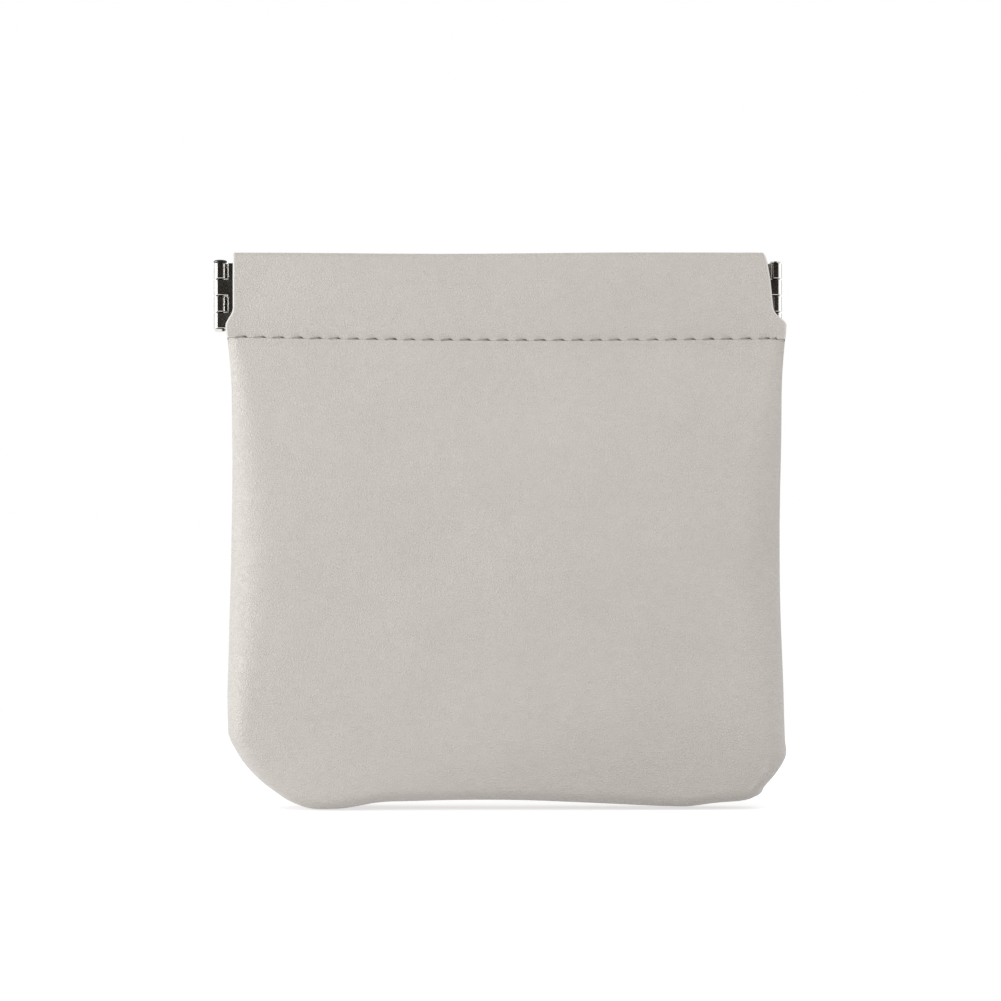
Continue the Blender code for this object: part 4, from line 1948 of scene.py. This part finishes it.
@dataclass
class HingeLeaf:
    """One stamped hinge leaf, with two knuckles curled from its edge and windows between."""

    side: Side
    end: End
    frame_form: FrameForm
    finishes: FinishSet
    curl_degrees: float = 285.0
    curl_steps: int = 30
    plate_places: tuple[float, ...] = (11.8 * MM, 7.0 * MM, 3.0 * MM)
    window_reach: float = 1.62 * MM
    edge_rounding: float = 0.08 * MM
    rim: float = 0.18 * MM
    lip_radius: float = 0.08 * MM
    lip_start: float = 0.75 * MM
    lip_corner: float = 0.35 * MM
    lip_corner_steps: int = 5
    lip_sides: int = 10
    knuckle_trim: float = 0.08 * MM

    @property
    def own_rows(self) -> tuple[int, int]:
        """Which of the four knuckles are this leaf's, counted from the bottom."""
        return (0, 2) if self.side is Side.FRONT else (1, 3)

    def path(self) -> list[Pair]:
        """Draw the leaf from above: along the plate, then round the pin.

        Returns:
            Points as how far in from the pin and how far out from the middle plane.
        """
        form = self.frame_form
        middle = form.knuckle_inner_radius + form.leaf_thickness / 2
        plate = [form.leaf_length, *self.plate_places]
        plate += [self.window_reach + self.rim, self.window_reach]
        points = [(along, middle) for along in plate]
        for step in range(self.curl_steps + 1):
            angle = math.radians(90.0 + self.curl_degrees * step / self.curl_steps)
            points.append((middle * math.cos(angle), middle * math.sin(angle)))
        return points

    def lip_plan(self, foot: float, is_topmost: bool) -> list[Pair]:
        """Draw the middle line of the lip round one window.

        Args:
            foot: The height of the lip's lower run.
            is_topmost: Whether the window is open at the top of the leaf.

        Returns:
            Points as how far in from the pin and how high.
        """
        top = foot + self.frame_form.knuckle_height + 2 * self.lip_radius
        reach = self.window_reach + self.lip_radius
        corner = self.lip_corner
        turns = [
            math.pi / 2 * step / self.lip_corner_steps
            for step in range(1, self.lip_corner_steps + 1)
        ]
        plan = [(self.lip_start, foot), (reach - corner, foot)]
        for turn in turns:
            along = reach - corner + corner * math.sin(turn)
            plan.append((along, foot + corner - corner * math.cos(turn)))
        if is_topmost:
            plan.append((reach, top - 2 * self.lip_radius))
            return plan
        plan.append((reach, top - corner))
        for turn in turns:
            along = reach - corner + corner * math.cos(turn)
            plan.append((along, top - corner + corner * math.sin(turn)))
        plan.append((self.lip_start, top))
        return plan

    def add_window_lips(self, mesh: bpy.types.Mesh) -> None:
        """Raise the stamped lip that runs round three sides of each window.

        Args:
            mesh: The leaf's mesh.
        """
        form = self.frame_form
        pitch = form.knuckle_height + form.knuckle_gap
        out = form.knuckle_inner_radius + form.leaf_thickness
        for index in range(form.knuckles):
            if index in self.own_rows:
                continue
            foot = form.hinge_bottom + index * pitch - self.lip_radius
            path = []
            for along, height in self.lip_plan(foot, index == form.knuckles - 1):
                x = form.pin_x(self.end) - self.end.value * along
                path.append(Vector((x, self.side.value * out, height)))
            add_tube(mesh, path, self.lip_radius, self.lip_sides)

    def build(self) -> bpy.types.Object:
        """Make the leaf.

        Returns:
            The finished piece.
        """
        form = self.frame_form
        path = self.path()
        heights, knuckle_of = [], []
        for index in range(form.knuckles):
            foot = form.hinge_bottom + index * (form.knuckle_height + form.knuckle_gap)
            top = foot + form.knuckle_height - self.knuckle_trim
            foot += self.knuckle_trim
            heights += [foot, foot + self.rim, (foot + top) / 2, top - self.rim, top]
            knuckle_of += [index] * 4 + [-1]
        points = []
        for height in heights:
            for along, across in path:
                x = form.pin_x(self.end) - self.end.value * along
                points.append((x, self.side.value * across, height))
        columns = len(path)
        plate_columns = columns - self.curl_steps - 2
        faces = []
        for face in grid_faces(len(heights), columns):
            row, column = divmod(face[0], columns)
            if column < plate_columns or knuckle_of[row] in self.own_rows:
                faces.append(face)
        name = "_".join((self.side.word, self.end.word, "hinge_leaf"))
        mesh = bpy.data.meshes.new(name)
        mesh.from_pydata(points, [], faces)
        leaf = link_piece(name, mesh, [self.finishes.nickel])
        round_off(leaf, form.leaf_thickness, self.edge_rounding)
        self.add_window_lips(leaf.data)
        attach(leaf, self.side.word + "_" + self.end.word)
        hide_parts("_".join((self.side.word, self.end.word, "leaf")))
        report(leaf)
        return leaf


def add_tube(mesh: bpy.types.Mesh, path: Sequence[Vector], radius: float, around: int) -> None:
    """Add a round bead along a path to a mesh.

    Args:
        mesh: The mesh that gets the bead.
        path: The bead's middle line.
        radius: Its radius.
        around: How many sides it has.
    """
    shape = bmesh.new()
    shape.from_mesh(mesh)
    rings = []
    for index, place in enumerate(path):
        before = path[max(0, index - 1)]
        after = path[min(len(path) - 1, index + 1)]
        along = (after - before).normalized()
        first = along.cross(Vector((0.0, 1.0, 0.0))).normalized()
        second = along.cross(first)
        ring = []
        for step in range(around):
            angle = 2 * math.pi * step / around
            offset = first * math.cos(angle) + second * math.sin(angle)
            ring.append(shape.verts.new(place + offset * radius))
        rings.append(ring)
    for ring, following in zip(rings, rings[1:]):
        for step in range(around):
            after = (step + 1) % around
            face = shape.faces.new((ring[step], ring[after], following[after], following[step]))
            face.smooth = True
    shape.faces.new(list(reversed(rings[0])))
    shape.faces.new(rings[-1])
    shape.to_mesh(mesh)
    shape.free()


def round_off(piece: bpy.types.Object, thickness: float, rounding: float) -> None:
    """Thicken a folded sheet, round its edges and keep the result.

    Args:
        piece: The sheet.
        thickness: Its thickness.
        rounding: How far its edges are rounded.
    """
    shell = piece.modifiers.new("thickness", "SOLIDIFY")
    shell.thickness = thickness
    shell.offset = 0.0
    shell.use_even_offset = True
    edge = piece.modifiers.new("rounding", "BEVEL")
    edge.width = rounding
    edge.segments = 2
    edge.limit_method = "ANGLE"
    edge.angle_limit = ROUNDED_ANGLE
    keep_modifiers(piece)


def keep_modifiers(piece: bpy.types.Object) -> None:
    """Turn a piece's modifiers into its mesh.

    Args:
        piece: The piece.
    """
    graph = bpy.context.evaluated_depsgraph_get()
    graph.update()
    shaped = bpy.data.meshes.new_from_object(piece.evaluated_get(graph))
    name = piece.data.name
    old = piece.data
    piece.modifiers.clear()
    piece.data = shaped
    bpy.data.meshes.remove(old)
    shaped.name = name
    shaped.shade_smooth()
    shaped.set_sharp_from_angle(angle=PLATE_EDGE_ANGLE)


@dataclass
class HingePin:
    """A hinge pin with a domed head and a peened foot.

    The left pin goes in from above. The right one goes in from below, as the photograph
    shows, so that its peened foot is on top.
    """

    end: End
    frame_form: FrameForm
    finishes: FinishSet
    around: int = 48
    rim_radius: float = 1.34 * MM
    rim_height: float = 0.26 * MM
    head_height: float = 0.62 * MM
    head_steps: int = 12
    head_fullness: float = 0.8
    rim_chamfer: float = 0.08 * MM
    rim_foot_share: float = 0.93
    foot_chamfer: float = 0.05 * MM
    foot_rim_share: float = 0.96
    left_foot_height: float = 0.55 * MM
    right_foot_height: float = 0.28 * MM
    hammered_foot: tuple[Pair, ...] = (
        (0.9, 0.8),
        (0.72, 1.0),
        (0.3, 0.82),
        (0.0, 0.78),
    )

    @property
    def body(self) -> str:
        """The body that carries the pin."""
        return "left_end" if self.end is End.LEFT else "front_right"

    @property
    def foot_height(self) -> float:
        """How far the peened foot stands out: the left one more, as photographed."""
        return self.left_foot_height if self.end is End.LEFT else self.right_foot_height

    def is_peened(self, height: float) -> bool:
        """Whether a place on the pin belongs to its bright, hammered foot.

        Args:
            height: The place's height.

        Returns:
            True on the foot.
        """
        if self.end is End.LEFT:
            return height < self.frame_form.hinge_bottom
        return height > self.frame_form.hinge_top

    def profile(self) -> list[Pair]:
        """Draw the pin's outline for a pin with its head on top.

        Returns:
            Points as radius and height, from the top down.
        """
        form = self.frame_form
        head = form.hinge_top + form.pin_end_gap
        foot = form.hinge_bottom - form.pin_end_gap
        points = []
        for step in range(self.head_steps + 1):
            angle = math.pi / 2 * step / self.head_steps
            dome = (self.head_height - self.rim_height) * math.cos(angle)
            height = head + self.rim_height + dome
            points.append((self.rim_radius * math.sin(angle) ** self.head_fullness, height))
        points += [
            (self.rim_radius, head + self.rim_chamfer),
            (self.rim_radius * self.rim_foot_share, head),
            (form.pin_radius, head),
            (form.pin_radius, foot),
            (form.foot_radius * self.foot_rim_share, foot),
            (form.foot_radius, foot - self.foot_chamfer),
        ]
        for radius_share, depth_share in self.hammered_foot:
            depth = self.foot_height * depth_share
            points.append((form.foot_radius * radius_share, foot - depth))
        return points

    def build(self) -> bpy.types.Object:
        """Make the pin.

        Returns:
            The finished piece.
        """
        profile = self.profile()
        if self.end is End.RIGHT:
            middle = self.frame_form.hinge_middle
            profile = [(radius, 2 * middle - height) for radius, height in reversed(profile)]
        x = self.frame_form.pin_x(self.end)
        points = []
        for radius, height in profile:
            for index in range(self.around):
                angle = 2 * math.pi * index / self.around
                points.append((x + radius * math.cos(angle), radius * math.sin(angle), height))
        rings = ring_faces(len(profile), self.around)
        faces = [(face[0], *reversed(face[1:])) for face in rings]
        name = self.end.word + "_hinge_pin"
        mesh = bpy.data.meshes.new(name)
        mesh.from_pydata(points, [], faces)
        mesh.validate()
        mesh.shade_smooth()
        mesh.set_sharp_from_angle(angle=PIN_EDGE_ANGLE)
        for polygon in mesh.polygons:
            polygon.material_index = int(self.is_peened(polygon.center.z))
        metals = [self.finishes.pin_steel, self.finishes.nickel]
        pin = link_piece(name, mesh, metals)
        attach(pin, self.body)
        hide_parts(self.end.word + "_pin")
        report(pin)
        return pin


@dataclass
class Rivets:
    """The eight rivets inside the hems: the CAD's own solids, plated."""

    finishes: FinishSet

    def dress(self) -> None:
        """Give each rivet the plating."""
        for side in Side:
            for end in End:
                for level in ("lower", "upper"):
                    name = "_".join((side.word, end.word, level, "rivet"))
                    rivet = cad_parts[name]
                    rivet.data.materials.clear()
                    rivet.data.materials.append(self.finishes.nickel)
                    LOG.info("%s: plated", name)


# The studio


@dataclass(frozen=True)
class SoftLamp:
    """A square area lamp that faces the pouch."""

    name: str
    place: Point
    size: float
    power: float
    colour: Colour = (1.0, 1.0, 1.0)
    in_gloss: bool = True

    def hang(self, target: Sequence[float]) -> None:
        """Put the lamp into the scene.

        Args:
            target: What it faces.
        """
        lamp = bpy.data.lights.new(self.name, "AREA")
        lamp.shape = "SQUARE"
        lamp.size = self.size
        lamp.energy = self.power
        lamp.color = self.colour
        holder = link(self.name, lamp)
        holder.location = self.place
        aim = Vector(target) - Vector(self.place)
        holder.rotation_euler = aim.to_track_quat("-Z", "Y").to_euler()
        holder.visible_glossy = self.in_gloss


@dataclass
class Studio:
    """A white floor and backdrop, soft lamps and the camera."""

    lamps: tuple[SoftLamp, ...] = (
        SoftLamp("left_lamp", (-0.56, -0.11, 0.04), 0.38, 3.2, colour=(0.95, 0.98, 1.0)),
        SoftLamp("top_lamp", (0.06, -0.62, 0.60), 0.6, 3.3, in_gloss=False),
        SoftLamp("rear_lamp", (0.1, 0.62, 0.55), 0.6, 1.9, in_gloss=False),
        SoftLamp("right_lamp", (0.76, 0.0, 0.2), 0.4, 0.7),
    )
    floor_half: float = 3.0
    floor_drop: float = 0.2 * MM
    floor_grey: float = 0.58
    shadow_reach: float = 0.10
    white_from: float = 0.34
    floor_lift: float = 0.6
    bounce_left: float = 0.42
    bounce_right: float = 0.13
    bounce_half: float = 0.09
    sky_level: float = 0.5
    card_distance: float = 0.9
    card_half_angle: float = 52.0
    card_lowest: float = -70.0
    card_highest: float = 120.0
    card_lines: int = 17
    card_colour: Colour = (0.030, 0.027, 0.024)
    target: Point = (0.0, 0.0, 61.3 * MM)
    plane_y: float = -0.5 * MM
    lens: float = 120.0
    sensor: float = 36.0
    clip_start: float = 0.01
    view_width: float = 200.2 * MM

    def floor_finish(self) -> bpy.types.Material:
        """A white floor that keeps the pouch's soft shadow, and glows on the pouch as painted
        bounce light, more on the left.

        Returns:
            The material.
        """
        material, wiring, both = start_material("white_floor", "ShaderNodeAddShader")
        place = wiring.add("ShaderNodeTexCoord").outputs["Object"]
        distance = wiring.add("ShaderNodeVectorMath", operation="LENGTH")
        wiring.join(place, distance.inputs[0])
        far = wiring.ramp(distance.outputs["Value"], self.shadow_reach, self.white_from)
        seen = self.seen_directly(wiring)
        far_seen = wiring.maths("MULTIPLY", far, seen)
        matt = wiring.add("ShaderNodeBsdfDiffuse")
        grey = wiring.blend(far_seen, (self.floor_grey,) * 3, (0.0, 0.0, 0.0))
        wiring.join(grey, matt.inputs["Color"])
        glow = wiring.add("ShaderNodeEmission")
        lift = wiring.maths("MULTIPLY", far, 1.0 - self.floor_lift)
        lift = wiring.maths("ADD", lift, self.floor_lift)
        # For all but camera and gloss rays the floor glows, stronger on the left: painted bounce
        # light.
        split = wiring.add("ShaderNodeSeparateXYZ")
        wiring.join(place, split.inputs[0])
        across = wiring.ramp(split.outputs["X"], -self.bounce_half, self.bounce_half)
        bounce = wiring.maths("MULTIPLY", across, self.bounce_right - self.bounce_left)
        bounce = wiring.maths("ADD", bounce, self.bounce_left)
        lift = wiring.maths("MULTIPLY", wiring.maths("SUBTRACT", lift, bounce), seen)
        wiring.join(wiring.maths("ADD", lift, bounce), glow.inputs["Strength"])
        wiring.join(matt.outputs[0], both.inputs[0])
        wiring.join(glow.outputs[0], both.inputs[1])
        return material

    def seen_directly(self, wiring: Wiring) -> Socket:
        """1 for what the camera sees, directly, in gloss or through glass, and otherwise 0.

        Args:
            wiring: The tree to build in.

        Returns:
            The value.
        """
        path = wiring.add("ShaderNodeLightPath")
        seen = wiring.maths("MAXIMUM", path.outputs["Is Camera Ray"], path.outputs["Is Glossy Ray"])
        return wiring.maths("MAXIMUM", seen, path.outputs["Is Transmission Ray"])

    def add_floor(self) -> None:
        """Lay the floor."""
        half = self.floor_half
        mesh = bpy.data.meshes.new("floor")
        corners = [(-half, -half, 0.0), (half, -half, 0.0), (half, half, 0.0), (-half, half, 0.0)]
        mesh.from_pydata(corners, [], [(0, 1, 2, 3)])
        mesh.materials.append(self.floor_finish())
        floor = link("floor", mesh)
        floor.location.z = -self.floor_drop

    def add_world(self) -> None:
        """Surround the pouch with white for the eye and for gloss, and light it softly."""
        world = bpy.data.worlds.new("white_studio")
        bpy.context.scene.world = world
        world.use_nodes = True
        wiring = Wiring(world.node_tree)
        seen = self.seen_directly(wiring)
        strength = wiring.maths("MULTIPLY", seen, 1.0 - self.sky_level)
        strength = wiring.maths("ADD", strength, self.sky_level)
        background = wiring.add("ShaderNodeBackground")
        background.inputs["Color"].default_value = (1.0, 1.0, 1.0, 1.0)
        wiring.join(strength, background.inputs["Strength"])
        exit_node = wiring.add("ShaderNodeOutputWorld")
        wiring.join(background.outputs[0], exit_node.inputs["Surface"])

    def add_camera(self) -> None:
        """Stand the camera level in front of the pouch, as the photograph has it."""
        camera = bpy.data.cameras.new("camera")
        camera.lens = self.lens
        camera.sensor_width = self.sensor
        camera.clip_start = self.clip_start
        distance = self.view_width * self.lens / self.sensor
        holder = link("camera", camera)
        holder.location = (self.target[0], self.plane_y - distance, self.target[2])
        holder.rotation_euler = (math.pi / 2, 0.0, 0.0)
        bpy.context.scene.camera = holder

    def add_dark_card(self) -> None:
        """Stand a dark arched card behind the camera, which only gloss shows.

        The photograph's metal mirrors its dark camera side between two white panels.
        """
        points = []
        reach = self.card_distance
        half = math.radians(self.card_half_angle)
        lowest, highest = math.radians(self.card_lowest), math.radians(self.card_highest)
        for rise in spread(lowest, highest, self.card_lines):
            for angle in spread(-half, half, self.card_lines):
                across = math.sin(angle) * math.cos(rise)
                forward = -math.cos(angle) * math.cos(rise)
                points.append((across * reach, forward * reach, math.sin(rise) * reach))
        mesh = bpy.data.meshes.new("dark_card")
        mesh.from_pydata(points, [], grid_faces(self.card_lines, self.card_lines))
        material, _, glow = start_material("dark_card", "ShaderNodeEmission")
        glow.inputs["Color"].default_value = (*self.card_colour, 1.0)
        mesh.materials.append(material)
        card = link("dark_card", mesh)
        card.location = self.target
        card.visible_camera = False
        card.visible_diffuse = False
        card.visible_transmission = False
        card.visible_shadow = False

    def set_up(self) -> None:
        """Build the whole studio."""
        self.add_camera()
        self.add_floor()
        self.add_world()
        self.add_dark_card()
        for lamp in self.lamps:
            lamp.hang(self.target)
        bpy.context.scene.view_settings.view_transform = "Standard"
        LOG.info("studio: floor, world, %d lamps, card and camera", len(self.lamps))


def main() -> None:
    """Build every piece of the pouch and the studio around it."""
    logging.basicConfig(level=logging.INFO, format="%(name)s: %(message)s")
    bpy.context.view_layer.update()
    finishes = FinishSet()
    frame_form = FrameForm()
    stitches = StitchLine()
    Studio().set_up()
    makers: list[Callable[[], object]] = []
    for side in Side:
        makers.append(BagPanel(side, BagForm(), frame_form, stitches, finishes).build)
        makers.append(Hem(side, frame_form, stitches, finishes).build)
        makers.append(HemStitching(side, frame_form, stitches, finishes).build)
        makers.append(SpringStrip(side, frame_form, finishes).build)
        for end in End:
            makers.append(HingeLeaf(side, end, frame_form, finishes).build)
    for end in End:
        makers.append(HingePin(end, frame_form, finishes).build)
    makers.append(Rivets(finishes).dress)
    for make in makers:
        make()


if __name__ == "__main__":
    main()
